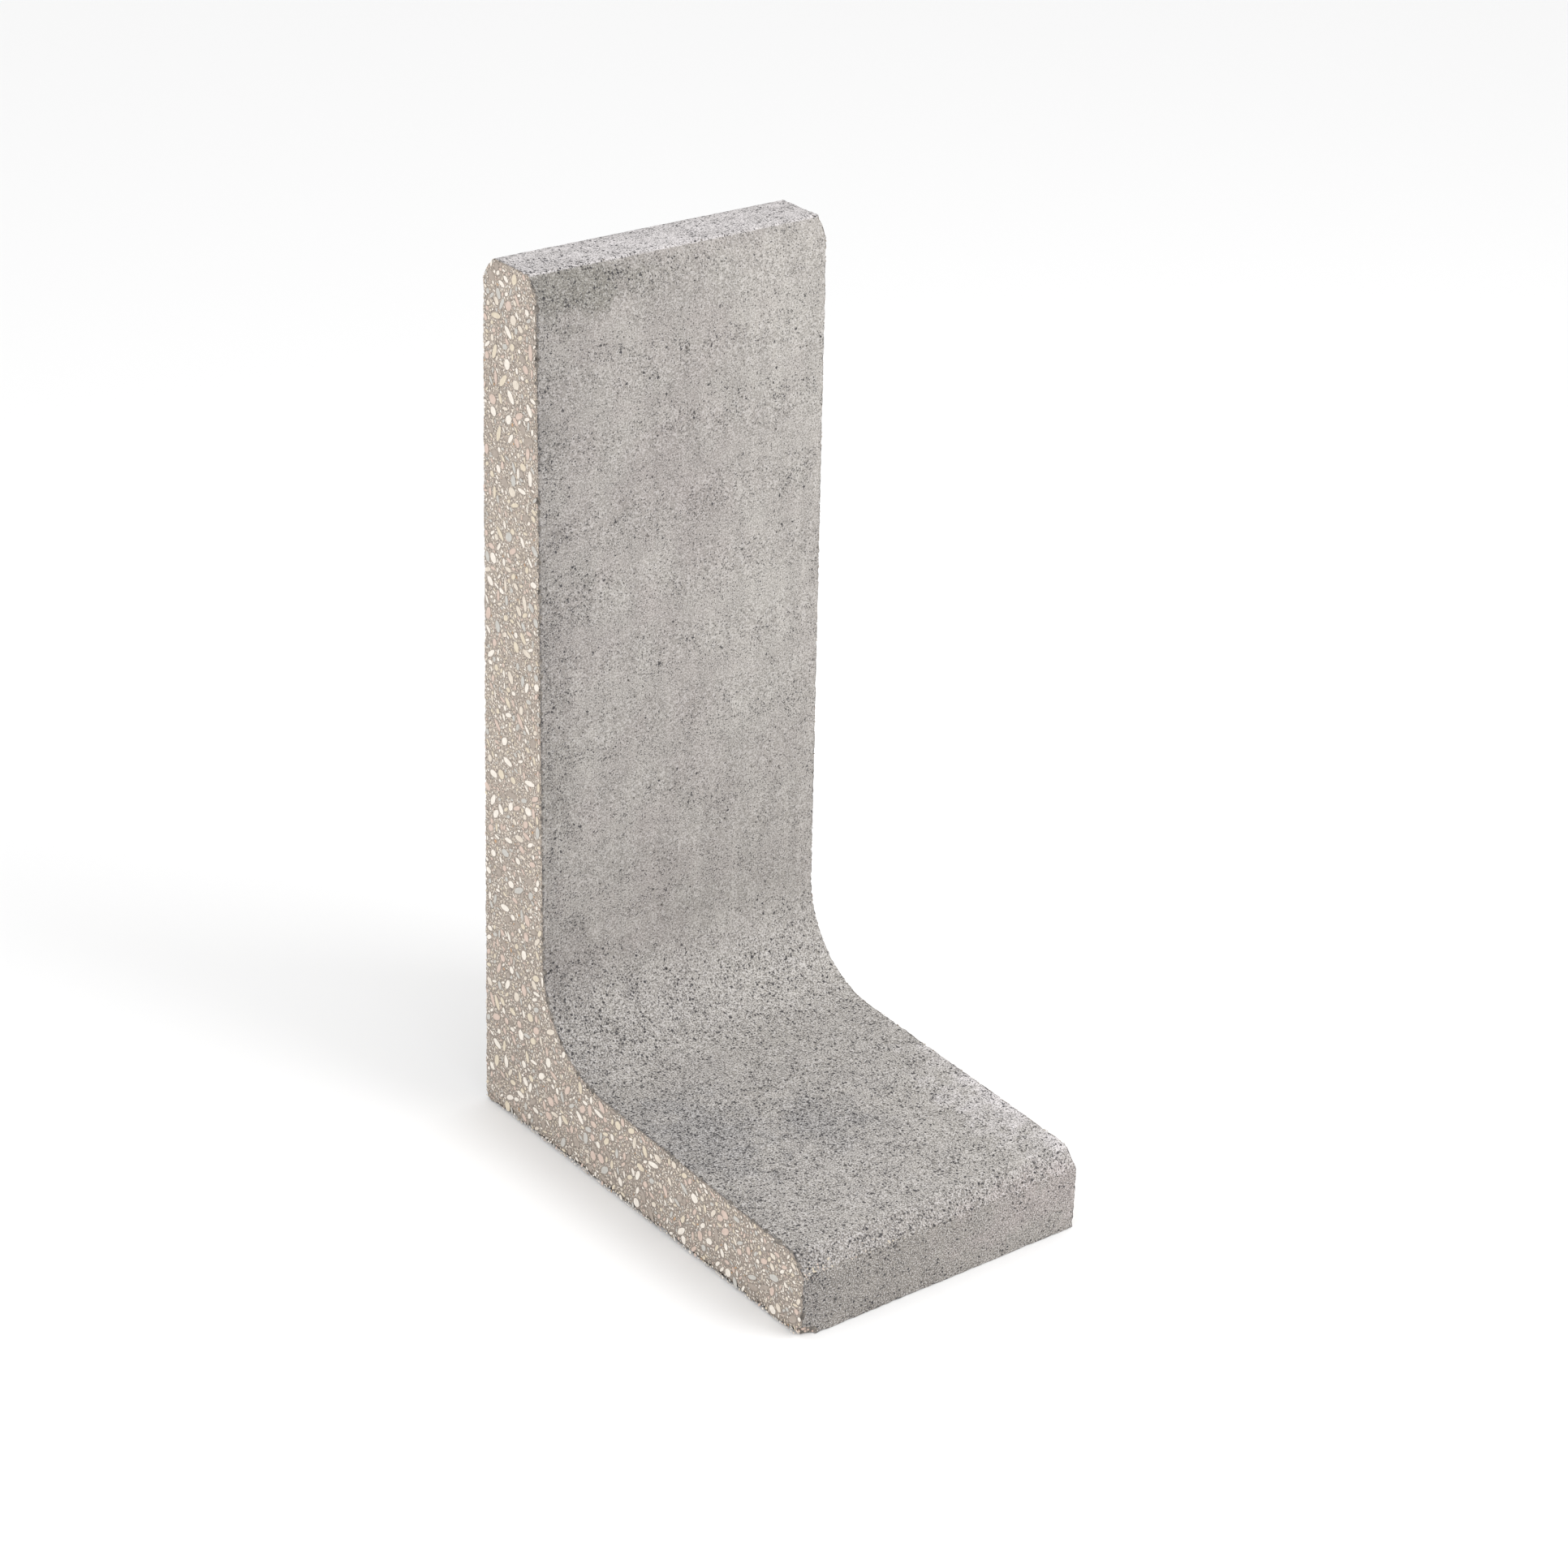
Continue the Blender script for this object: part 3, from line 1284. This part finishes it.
# %% Run the weathering
casting = run_nodes(
    block,
    weathering,
    {
        "Arris lines": arris_lines,
        "Waviness": 0.0006,
        "Wear depth": 0.0021,
        "Scuff depth": 0.008,
        "Wide hole spacing": 0.011,
        "Wide hole radius": 0.0032,
        "Hole spacing": 0.0080,
        "Hole radius": 0.0016,
        "Chip spacing": 0.0035,
        "Break place": (-HALF_LENGTH + 0.003, TOE_Y - 0.0005, 0.001),
        "Break size": (0.019, 0.0095, 0.014),
        "Skin": cast_skin,
        "Ground": ground_mortar,
        "Broken": broken_mortar,
        "Seed": 3,
    },
    "concrete_casting",
)
bpy.data.objects.remove(arris_lines)

# %% [markdown]
# ## The pebbles in the ground ends
#
# The mix holds river gravel up to 16 mm, crushed to all shapes, with many small stones for each large
# one. Grinding cuts every stone flat at the same plane, and no stone lies over another. So the stones
# are placed from the largest down, each in a spot that is still free, and Geometry Nodes puts a
# flat-topped stone on each spot.

# %% Free spots for the stones
RASTER_CELL = 0.0005
SKIN = 0.0006  # cement that the mould leaves outside the outermost stones
STONE_GAP = 0.0003  # mortar left round every stone
TRIES = 25  # spots that are tried before a stone is left out


def section_raster():
    """A raster of the section, True inside it, with the y and z of its first cell."""
    low_y, low_z = TOE_Y, 0.0
    ys = np.arange(low_y, BACK_Y, RASTER_CELL) + RASTER_CELL / 2
    zs = np.arange(low_z, TOP_Z, RASTER_CELL) + RASTER_CELL / 2
    yy, zz = np.meshgrid(ys, zs)
    stem_line = corner[0] + (zz - corner[1]) * (stem_top_inside - corner)[0] / (TOP_Z - corner[1])
    foot_line = corner[1] + (yy - corner[0]) * (toe_top - corner)[1] / (TOE_Y - corner[0])
    inside = (yy > stem_line + SKIN) | (zz < foot_line - SKIN)
    from_centre = np.hypot(yy - fillet_centre[0], zz - fillet_centre[1])
    in_corner = (yy > fillet_end[0]) & (zz < fillet_top[1]) & (from_centre > FILLET_R + SKIN)
    inside |= in_corner
    inside &= (yy < BACK_Y - SKIN) & (yy > TOE_Y + SKIN) & (zz > SKIN) & (zz < TOP_Z - SKIN)
    for edge_y, side in ((stem_top_inside[0], 1), (BACK_Y, -1)):
        cut = (yy - edge_y) * side / top_in + (TOP_Z - zz) / top_down
        inside &= cut > 1.1
    inside &= ((yy - TOE_Y) / toe_in + (TOE_T - zz) / toe_down > 1.1) | (yy > TOE_Y + 2 * toe_in)
    return inside, low_y, low_z


section_mask, raster_y, raster_z = section_raster()
ground_area = float(section_mask.sum()) * RASTER_CELL**2
print("ground face:", round(ground_area * 1e4, 1), "square centimetres")


def scatter_stones(seed, gravel=230, grit=9500, largest=0.0130, smallest=0.0017, power=3.6):
    """Ellipses that don't touch: rows of y, z, half length, half width and angle.
    Gravel is spread evenly between half the largest size and the largest. Grit follows a power law,
    with many fine grains for each coarse one."""
    rng = np.random.default_rng(seed)
    free = section_mask.copy()
    spread = rng.random(grit)
    sizes = (smallest ** (1 - power) * (1 - spread) + largest ** (1 - power) * spread) ** (
        1 / (1 - power)
    )
    sizes = np.concatenate([rng.uniform(largest * 0.5, largest, gravel), sizes])
    rows = []
    for size in sorted(sizes, reverse=True):
        slim = rng.uniform(1.0, 1.35) if rng.random() < 0.5 else rng.uniform(1.35, 1.75)
        half_long, half_wide = size / 2 * slim, size / 2 / slim
        for _ in range(TRIES):
            angle = rng.uniform(0, math.pi)
            row = rng.integers(free.shape[0])
            col = rng.integers(free.shape[1])
            if not free[row, col]:
                continue
            reach = int(math.ceil((half_long + STONE_GAP) / RASTER_CELL))
            if min(row, col) < reach or row + reach >= free.shape[0] or col + reach >= free.shape[1]:
                continue
            dy, dz = np.meshgrid(*(np.arange(-reach, reach + 1),) * 2)
            a = dy * math.cos(angle) + dz * math.sin(angle)
            b = -dy * math.sin(angle) + dz * math.cos(angle)
            a_share = a * RASTER_CELL / (half_long + STONE_GAP)
            b_share = b * RASTER_CELL / (half_wide + STONE_GAP)
            shape = a_share**2 + b_share**2 <= 1
            patch = free[row - reach : row + reach + 1, col - reach : col + reach + 1]
            if patch[shape].all():
                patch[shape] = False
                stone_y = raster_y + (col + 0.5) * RASTER_CELL
                stone_z = raster_z + (row + 0.5) * RASTER_CELL
                rows.append((stone_y, stone_z, half_long, half_wide, angle))
                break
    return np.array(rows), rng


near_stones, near_rng = scatter_stones(seed=12)
far_stones, far_rng = scatter_stones(seed=47)
print(len(near_stones), "stones at the near end and", len(far_stones), "at the far end")


# %% Stone shapes
STONE_BODY = 0.8  # how far a stone reaches into the concrete, for a half width of 1


def build_stone_shape(number, sides):
    """A stone of half length and half width 1 in its own X and Y. Its ground face is at Z = 0, and
    its body comes to a point below."""
    rng = np.random.default_rng(100 + number)
    angles = np.linspace(0, 2 * math.pi, sides, endpoint=False)
    angles = angles + rng.uniform(-0.25, 0.25, sides) * 2 * math.pi / sides
    radius = 1 + rng.uniform(-0.14, 0.0, sides)
    ring = np.column_stack([radius * np.cos(angles), radius * np.sin(angles)])
    points = [(*p, 0.0) for p in ring] + [(0, 0, -STONE_BODY)]
    faces = [list(range(sides))] + [[(i + 1) % sides, i, sides] for i in range(sides)]
    return mesh_from(f"stone_{number}", points, faces)


def stone_collection(name, count, sides):
    """A collection of stones with this many sides, which is kept out of the scene's own."""
    made = bpy.data.collections.new(name)
    bpy.context.scene.collection.children.link(made)
    for i in range(count):
        stone = build_stone_shape(i + sides * 10, sides)
        bpy.context.scene.collection.objects.unlink(stone)
        made.objects.link(stone)
    return made


SHAPE_COUNT = 8
small_shapes = stone_collection("small_stones", SHAPE_COUNT, sides=8)
large_shapes = stone_collection("large_stones", SHAPE_COUNT, sides=18)

# %% [markdown]
# ## Stone colours
#
# Most stones are cream and white limestone and quartz, with grey, tan, salmon and a few rusty ones.
# Each stone carries one random number. The material turns it into a shade, and adds the faint clouds
# and veins of real stone.

# %% Material: pebbles
STONE_SHADES = (
    (0.00, (0.700, 0.625, 0.535, 1)),
    (0.22, (0.860, 0.810, 0.740, 1)),
    (0.40, (0.740, 0.670, 0.580, 1)),
    (0.49, (0.400, 0.345, 0.300, 1)),
    (0.55, (0.660, 0.530, 0.460, 1)),
    (0.68, (0.720, 0.640, 0.510, 1)),
    (0.78, (0.560, 0.550, 0.520, 1)),
    (0.86, (0.860, 0.810, 0.740, 1)),
    (0.985, (0.560, 0.350, 0.200, 1)),
)
VEIN_SHADE = (0.78, 0.75, 0.72, 1)


def make_pebble():
    material, tree, shader = new_material("pebble")
    place = millimetres(tree)
    kind = add_node(tree, "ShaderNodeAttribute", attribute_name="stone_kind").outputs["Fac"]
    colour = shade_ramp(tree, kind, STONE_SHADES)
    veins = clouds(tree, place, 5.0, 2.4, detail=5.0)
    flecks = clouds(tree, place, 0.9, 2.5, detail=1.0, shift=(3.0, 1.0, 2.0))
    darker = add_node(
        tree,
        "ShaderNodeMix",
        {"Factor": 1.0, 6: colour, 7: VEIN_SHADE},
        data_type="RGBA",
        blend_type="MULTIPLY",
    ).outputs[2]
    colour = tint(tree, colour, darker, veins, 0.9)
    colour = tint(tree, colour, darker, flecks, 0.35)
    tree.links.new(colour, shader.inputs["Base Color"])
    rough = math_node(tree, "MULTIPLY_ADD", veins, 0.18, 0.42)
    tree.links.new(rough, shader.inputs["Roughness"])
    add_bump(tree, shader, flecks, strength=0.25, distance=0.0002)
    return material


pebble = make_pebble()


# %% Geometry Nodes: a stone on every spot
def make_stone_setter():
    tree, inside, outside = new_group(
        "Stones on spots",
        "GeometryNodeTree",
        [
            ("Spots", "NodeSocketGeometry", None),
            ("Small shapes", "NodeSocketCollection", None),
            ("Large shapes", "NodeSocketCollection", None),
            ("Large from", "NodeSocketFloat", None),
            ("Depth share", "NodeSocketFloat", None),
            ("Material", "NodeSocketMaterial", None),
            ("Seed", "NodeSocketInt", None),
        ],
        [("Stones", "NodeSocketGeometry")],
    )
    half_long, half_wide = named(tree, "half_long"), named(tree, "half_wide")
    depth = math_node(tree, "MULTIPLY", half_wide, inside.outputs["Depth share"])
    size = add_node(tree, "ShaderNodeCombineXYZ", {0: half_long, 1: half_wide, 2: depth})
    points = add_node(tree, "GeometryNodeMeshToPoints", {"Mesh": inside.outputs["Spots"]}).outputs[0]
    is_large = add_node(
        tree,
        "FunctionNodeCompare",
        {0: half_long, 1: inside.outputs["Large from"]},
        operation="GREATER_THAN",
    ).outputs[0]
    is_small = add_node(tree, "FunctionNodeBooleanMath", {0: is_large}, operation="NOT").outputs[0]
    pick = add_node(tree, "FunctionNodeRandomValue", data_type="INT")
    pick.inputs[4].default_value = 0
    pick.inputs[5].default_value = SHAPE_COUNT - 1
    tree.links.new(inside.outputs["Seed"], pick.inputs[8])
    turn = add_node(
        tree, "FunctionNodeEulerToRotation", {0: named(tree, "turn", "FLOAT_VECTOR")}
    ).outputs[0]
    joined = add_node(tree, "GeometryNodeJoinGeometry")
    for label, selection in (("Small shapes", is_small), ("Large shapes", is_large)):
        shapes = add_node(
            tree,
            "GeometryNodeCollectionInfo",
            {"Collection": inside.outputs[label], "Separate Children": True, "Reset Children": True},
        )
        placed = add_node(
            tree,
            "GeometryNodeInstanceOnPoints",
            {
                "Points": points,
                "Selection": selection,
                "Instance": shapes.outputs[0],
                "Pick Instance": True,
                "Instance Index": pick.outputs[2],
                "Rotation": turn,
                "Scale": size.outputs[0],
            },
        )
        tree.links.new(placed.outputs[0], joined.inputs[0])
    stones = with_material(tree, realized(tree, joined.outputs[0]), inside.outputs["Material"])
    tree.links.new(stones, outside.inputs[0])
    return tree


stone_setter = make_stone_setter()


# %% Set the stones in both ends
STONE_SUNK = 0.00002  # the stones lie this much inside the element's length
LARGE_STONE = 0.0024  # half lengths from this up get a rounder outline, and fewer white stones


def set_stones(name, rows, rng, seed, facing):
    """Puts a flat-topped stone on each row's spot. facing is -1 at the near end, +1 at the far one."""
    x = facing * (HALF_LENGTH - STONE_SUNK)
    spots = bpy.data.meshes.new(name + "_spots")
    spots.from_pydata([(x, row[0], row[1]) for row in rows], [], [])
    for label, column in (("half_long", 2), ("half_wide", 3)):
        stored = spots.attributes.new(label, "FLOAT", "POINT")
        stored.data.foreach_set("value", rows[:, column].astype(np.float32))
    kinds = spots.attributes.new("stone_kind", "FLOAT", "POINT")
    kind = rng.random(len(rows))
    coarse = rows[:, 2] * rows[:, 3] > LARGE_STONE**2
    kind[coarse] = 0.30 + 0.60 * kind[coarse]  # fewer of the coarse stones are white
    kinds.data.foreach_set("value", kind.astype(np.float32))
    turns = []
    for row in rows:
        # local Z faces out of the end, and local X lies along the stone's length in the face
        out = Vector((facing, 0, 0))
        long_way = Vector((0, math.cos(row[4]), math.sin(row[4])))
        basis = Matrix((long_way, out.cross(long_way), out)).transposed()
        turns += basis.to_euler()[:]
    stored = spots.attributes.new("turn", "FLOAT_VECTOR", "POINT")
    stored.data.foreach_set("vector", turns)
    holder = bpy.data.objects.new(name + "_spots", spots)
    bpy.context.scene.collection.objects.link(holder)
    return run_nodes(
        holder,
        stone_setter,
        {
            "Small shapes": small_shapes,
            "Large shapes": large_shapes,
            "Large from": LARGE_STONE,
            "Depth share": 0.7,
            "Material": pebble,
            "Seed": seed,
        },
        name,
    )


near_pebbles = set_stones("near_end_pebbles", near_stones, near_rng, seed=1, facing=-1)
far_pebbles = set_stones("far_end_pebbles", far_stones, far_rng, seed=2, facing=1)

# %% [markdown]
# ## Bare grit on the toe
#
# The mould leaked a little cement water along the toe's chamfer, so sand grains stand bare there, most
# of them towards the near end. The broken corner below shows a few rounded pebbles. They are lumps
# half sunk in the concrete, one set for both places.

# %% Spots for the grit
GRIT_COUNT = 70
CRUMB_LENGTH = 0.150  # the strip of crumbs, from the near end
CRUMB_RADII = (0.0005, 0.0013)
CRUMB_KINDS = (0.40, 0.86)  # the range of stone colours among the crumbs
PEBBLE_KIND = 0.60
grit_rng = np.random.default_rng(8)
crumb_x = -HALF_LENGTH + 0.0015 + CRUMB_LENGTH * grit_rng.random(GRIT_COUNT) ** 1.7
crumb_slide = grit_rng.normal(0.0012, 0.0034, GRIT_COUNT)
crumbs = np.column_stack(
    [
        crumb_x,
        TOE_Y + 0.0011 + np.clip(crumb_slide, 0, None) * 0.9,
        TOE_T - toe_down + crumb_slide,
    ]
)
CORNER_PEBBLES = np.array(
    [
        # how far in from the end, from the toe and up, and the radius
        (0.0080, 0.0048, 0.0085, 0.0031),
        (0.0033, 0.0034, 0.0050, 0.0026),
        (0.0140, 0.0042, 0.0045, 0.0022),
        (0.0036, 0.0046, 0.0128, 0.0019),
        (0.0105, 0.0042, 0.0032, 0.0018),
        (0.0180, 0.0022, 0.0026, 0.0016),
    ]
)
pebble_places = CORNER_PEBBLES[:, :3] + np.array([-HALF_LENGTH, TOE_Y + 0.0010, 0])
grit_places = np.concatenate([crumbs, pebble_places])
crumb_radius = grit_rng.uniform(*CRUMB_RADII, GRIT_COUNT)
crumb_kind = grit_rng.uniform(*CRUMB_KINDS, GRIT_COUNT)
grit_radius = np.concatenate([crumb_radius, CORNER_PEBBLES[:, 3]])
grit_kind = np.concatenate([crumb_kind, np.full(len(CORNER_PEBBLES), PEBBLE_KIND)])


# %% Geometry Nodes: a lumpy grain on every spot
def make_grain_setter():
    tree, inside, outside = new_group(
        "Grains on spots",
        "GeometryNodeTree",
        [
            ("Spots", "NodeSocketGeometry", None),
            ("Lumpiness", "NodeSocketFloat", None),
            ("Material", "NodeSocketMaterial", None),
        ],
        [("Grains", "NodeSocketGeometry")],
    )
    points = add_node(tree, "GeometryNodeMeshToPoints", {"Mesh": inside.outputs["Spots"]}).outputs[0]
    squeeze = random_vector(tree, (0.75, 0.75, 0.75), (1.15, 1.0, 1.15), 3)
    grains = add_node(
        tree,
        "GeometryNodeInstanceOnPoints",
        {
            "Points": points,
            "Instance": lump(tree, 17, inside.outputs["Lumpiness"], 2),
            "Rotation": any_turn(tree, 4),
            "Scale": vector_math(tree, "SCALE", squeeze, named(tree, "grain_radius")),
        },
    ).outputs[0]
    smooth = add_node(
        tree,
        "GeometryNodeSetShadeSmooth",
        {"Geometry": realized(tree, grains), "Shade Smooth": True},
    ).outputs[0]
    finished = with_material(tree, smooth, inside.outputs["Material"])
    tree.links.new(finished, outside.inputs[0])
    return tree


# %% Grains on the casting
# every grain is moved to the nearest point of the casting, and kept inside the element's own box
casting_tree = BVHTree.FromObject(casting, bpy.context.evaluated_depsgraph_get())
BOX_ROOM = 1.2  # a lump reaches a little beyond its radius
SUNK_SHARE = 0.35  # of its radius
for i, radius in enumerate(grit_radius):
    surface, facing, _, _ = casting_tree.find_nearest(Vector(grit_places[i]))
    sunk = surface - facing * radius * SUNK_SHARE
    low = np.array([-HALF_LENGTH, TOE_Y, 0.0]) + radius * BOX_ROOM
    grit_places[i] = np.maximum(np.array(sunk), low)

grit_mesh = bpy.data.meshes.new("grit_spots")
grit_mesh.from_pydata([tuple(p) for p in grit_places], [], [])
for label, values in (("grain_radius", grit_radius), ("stone_kind", grit_kind)):
    stored = grit_mesh.attributes.new(label, "FLOAT", "POINT")
    stored.data.foreach_set("value", values.astype(np.float32))
grit_holder = bpy.data.objects.new("grit_spots", grit_mesh)
bpy.context.scene.collection.objects.link(grit_holder)
toe_grit = run_nodes(
    grit_holder,
    make_grain_setter(),
    {"Lumpiness": 1.2, "Material": pebble},
    "toe_grit",
)

# %% Clear the stone shapes away
for shapes in (small_shapes, large_shapes):
    for stone in list(shapes.objects):
        bpy.data.objects.remove(stone)
    bpy.data.collections.remove(shapes)

# %% [markdown]
# ## The hidden pieces
#
# The cage and the spacers are sealed in the casting, apart from the small round feet of the spacers
# at the back and on the underside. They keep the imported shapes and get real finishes, so that a cut
# or an exploded view looks right too.


# %% Material: rusty bar
MILL_SCALE = (0.115, 0.090, 0.075, 1)
RUST = (0.235, 0.105, 0.048, 1)
RUST_BRIGHT = (0.330, 0.170, 0.080, 1)


def make_rusty_bar():
    material, tree, shader = new_material("rusty_bar")
    place = millimetres(tree)
    rust = clouds(tree, place, 14.0, 5.0)
    fine = clouds(tree, place, 1.4, 3.5, detail=3.0, shift=(4.0, 4.0, 4.0))
    colour = tint(tree, MILL_SCALE, RUST, rust, 0.85)
    colour = tint(tree, colour, RUST_BRIGHT, ramp_between(tree, fine, 0.55, 0.9), 0.7)
    tree.links.new(colour, shader.inputs["Base Color"])
    metal = math_node(tree, "MULTIPLY_ADD", rust, -0.55, 0.65, clamp=True)
    tree.links.new(metal, shader.inputs["Metallic"])
    rough = math_node(tree, "MULTIPLY_ADD", rust, 0.35, 0.48)
    tree.links.new(rough, shader.inputs["Roughness"])
    add_bump(tree, shader, fine, strength=0.5, distance=0.0003)
    return material


# %% Material: fibre-concrete spacer
SPACER_DARK = (0.205, 0.200, 0.194, 1)
SPACER_PALE = (0.285, 0.279, 0.268, 1)
FIBRE_DARK = (0.130, 0.127, 0.122, 1)


def make_fibre_concrete():
    material, tree, shader = new_material("fibre_concrete")
    place = millimetres(tree)
    cloudy = clouds(tree, place, 9.0, 3.0)
    fibres = clouds(tree, place, 0.8, 5.0, stretch=(6.0, 1.0, 1.0), detail=2.0)
    colour = tint(tree, SPACER_DARK, SPACER_PALE, cloudy)
    colour = tint(tree, colour, FIBRE_DARK, ramp_between(tree, fibres, 0.6, 0.95), 0.5)
    tree.links.new(colour, shader.inputs["Base Color"])
    rough = math_node(tree, "MULTIPLY_ADD", cloudy, 0.12, 0.78)
    tree.links.new(rough, shader.inputs["Roughness"])
    add_bump(tree, shader, fibres, strength=0.4, distance=0.0003)
    return material


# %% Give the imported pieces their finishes
rusty_bar = make_rusty_bar()
fibre_concrete = make_fibre_concrete()


def paint(obj, material):
    obj.data.materials.clear()
    obj.data.materials.append(material)


for name, node in frame["nodes"].items():
    if name == "concrete_body":
        paint(node, cast_skin)
    elif "spacer" in name:
        paint(node, fibre_concrete)
    else:
        paint(node, rusty_bar)
print("painted", len(frame["nodes"]), "packed pieces")

# %% [markdown]
# ## Floor, light and camera
#
# A pale floor, a wide soft lamp over the right shoulder, a weak one from the left and a bright sky
# give the even light of a studio. The camera looks down on the near end from the earth side
# with a long lens, slightly rolled.

# %% Floor
FLOOR_HALF = 8.0
FLOOR_Z = -0.0003
floor = mesh_from(
    "floor",
    [(FLOOR_HALF * x, FLOOR_HALF * y, FLOOR_Z) for x, y in ((-1, -1), (1, -1), (1, 1), (-1, 1))],
    [(0, 1, 2, 3)],
)
floor_paint, floor_tree, floor_shader = new_material("pale_floor")
floor_shader.inputs["Base Color"].default_value = (0.9, 0.9, 0.9, 1)
floor_shader.inputs["Roughness"].default_value = 0.9
paint(floor, floor_paint)

# %% Lights
scene = bpy.context.scene
scene.view_settings.view_transform = "Standard"
world = bpy.data.worlds.new("sky")
scene.world = world
world.use_nodes = True
sky = world.node_tree.nodes["Background"]
sky.inputs["Color"].default_value = (1.0, 1.0, 1.0, 1)
sky.inputs["Strength"].default_value = 1.0


def soft_lamp(name, place, target, power, size):
    """A square area lamp at a place, aimed at a target."""
    data = bpy.data.lights.new(name, "AREA")
    data.energy = power
    data.size = size
    lamp = bpy.data.objects.new(name, data)
    lamp.location = place
    lamp.rotation_euler = (Vector(target) - Vector(place)).to_track_quat("-Z", "Y").to_euler()
    scene.collection.objects.link(lamp)


LAMP_TARGET = (0, 0, 0.45)
soft_lamp("key", (1.6, -2.6, 2.9), LAMP_TARGET, power=70, size=2.2)
soft_lamp("left_fill", (-3.2, -0.6, 1.6), LAMP_TARGET, power=30, size=2.0)

# %% Camera
CAMERA_PLACE = Vector((-2.3294, -2.9458, 2.3386))
CAMERA_RIGHT = Vector((0.793598, -0.607651, 0.031025))
CAMERA_UP = Vector((0.246689, 0.367953, 0.896524))
CAMERA_LENS = 86.88
camera_data = bpy.data.cameras.new("camera")
camera_data.lens = CAMERA_LENS
camera_data.sensor_width = 36.0
camera_data.clip_end = 50.0
camera = bpy.data.objects.new("camera", camera_data)
basis = Matrix((CAMERA_RIGHT, CAMERA_UP, CAMERA_RIGHT.cross(CAMERA_UP))).transposed()
camera.matrix_world = Matrix.Translation(CAMERA_PLACE) @ basis.to_4x4()
scene.collection.objects.link(camera)
scene.camera = camera

# %% [markdown]
# ## Hand the pieces to the frame
#
# The element has no moving parts, so everything rides on its one body. The casting stands for the
# packed concrete body, and the pebbles are part of the same concrete.

# %% Ride and slots
for piece in (casting, near_pebbles, far_pebbles, toe_grit):
    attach(piece, "root")
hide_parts("concrete_body")
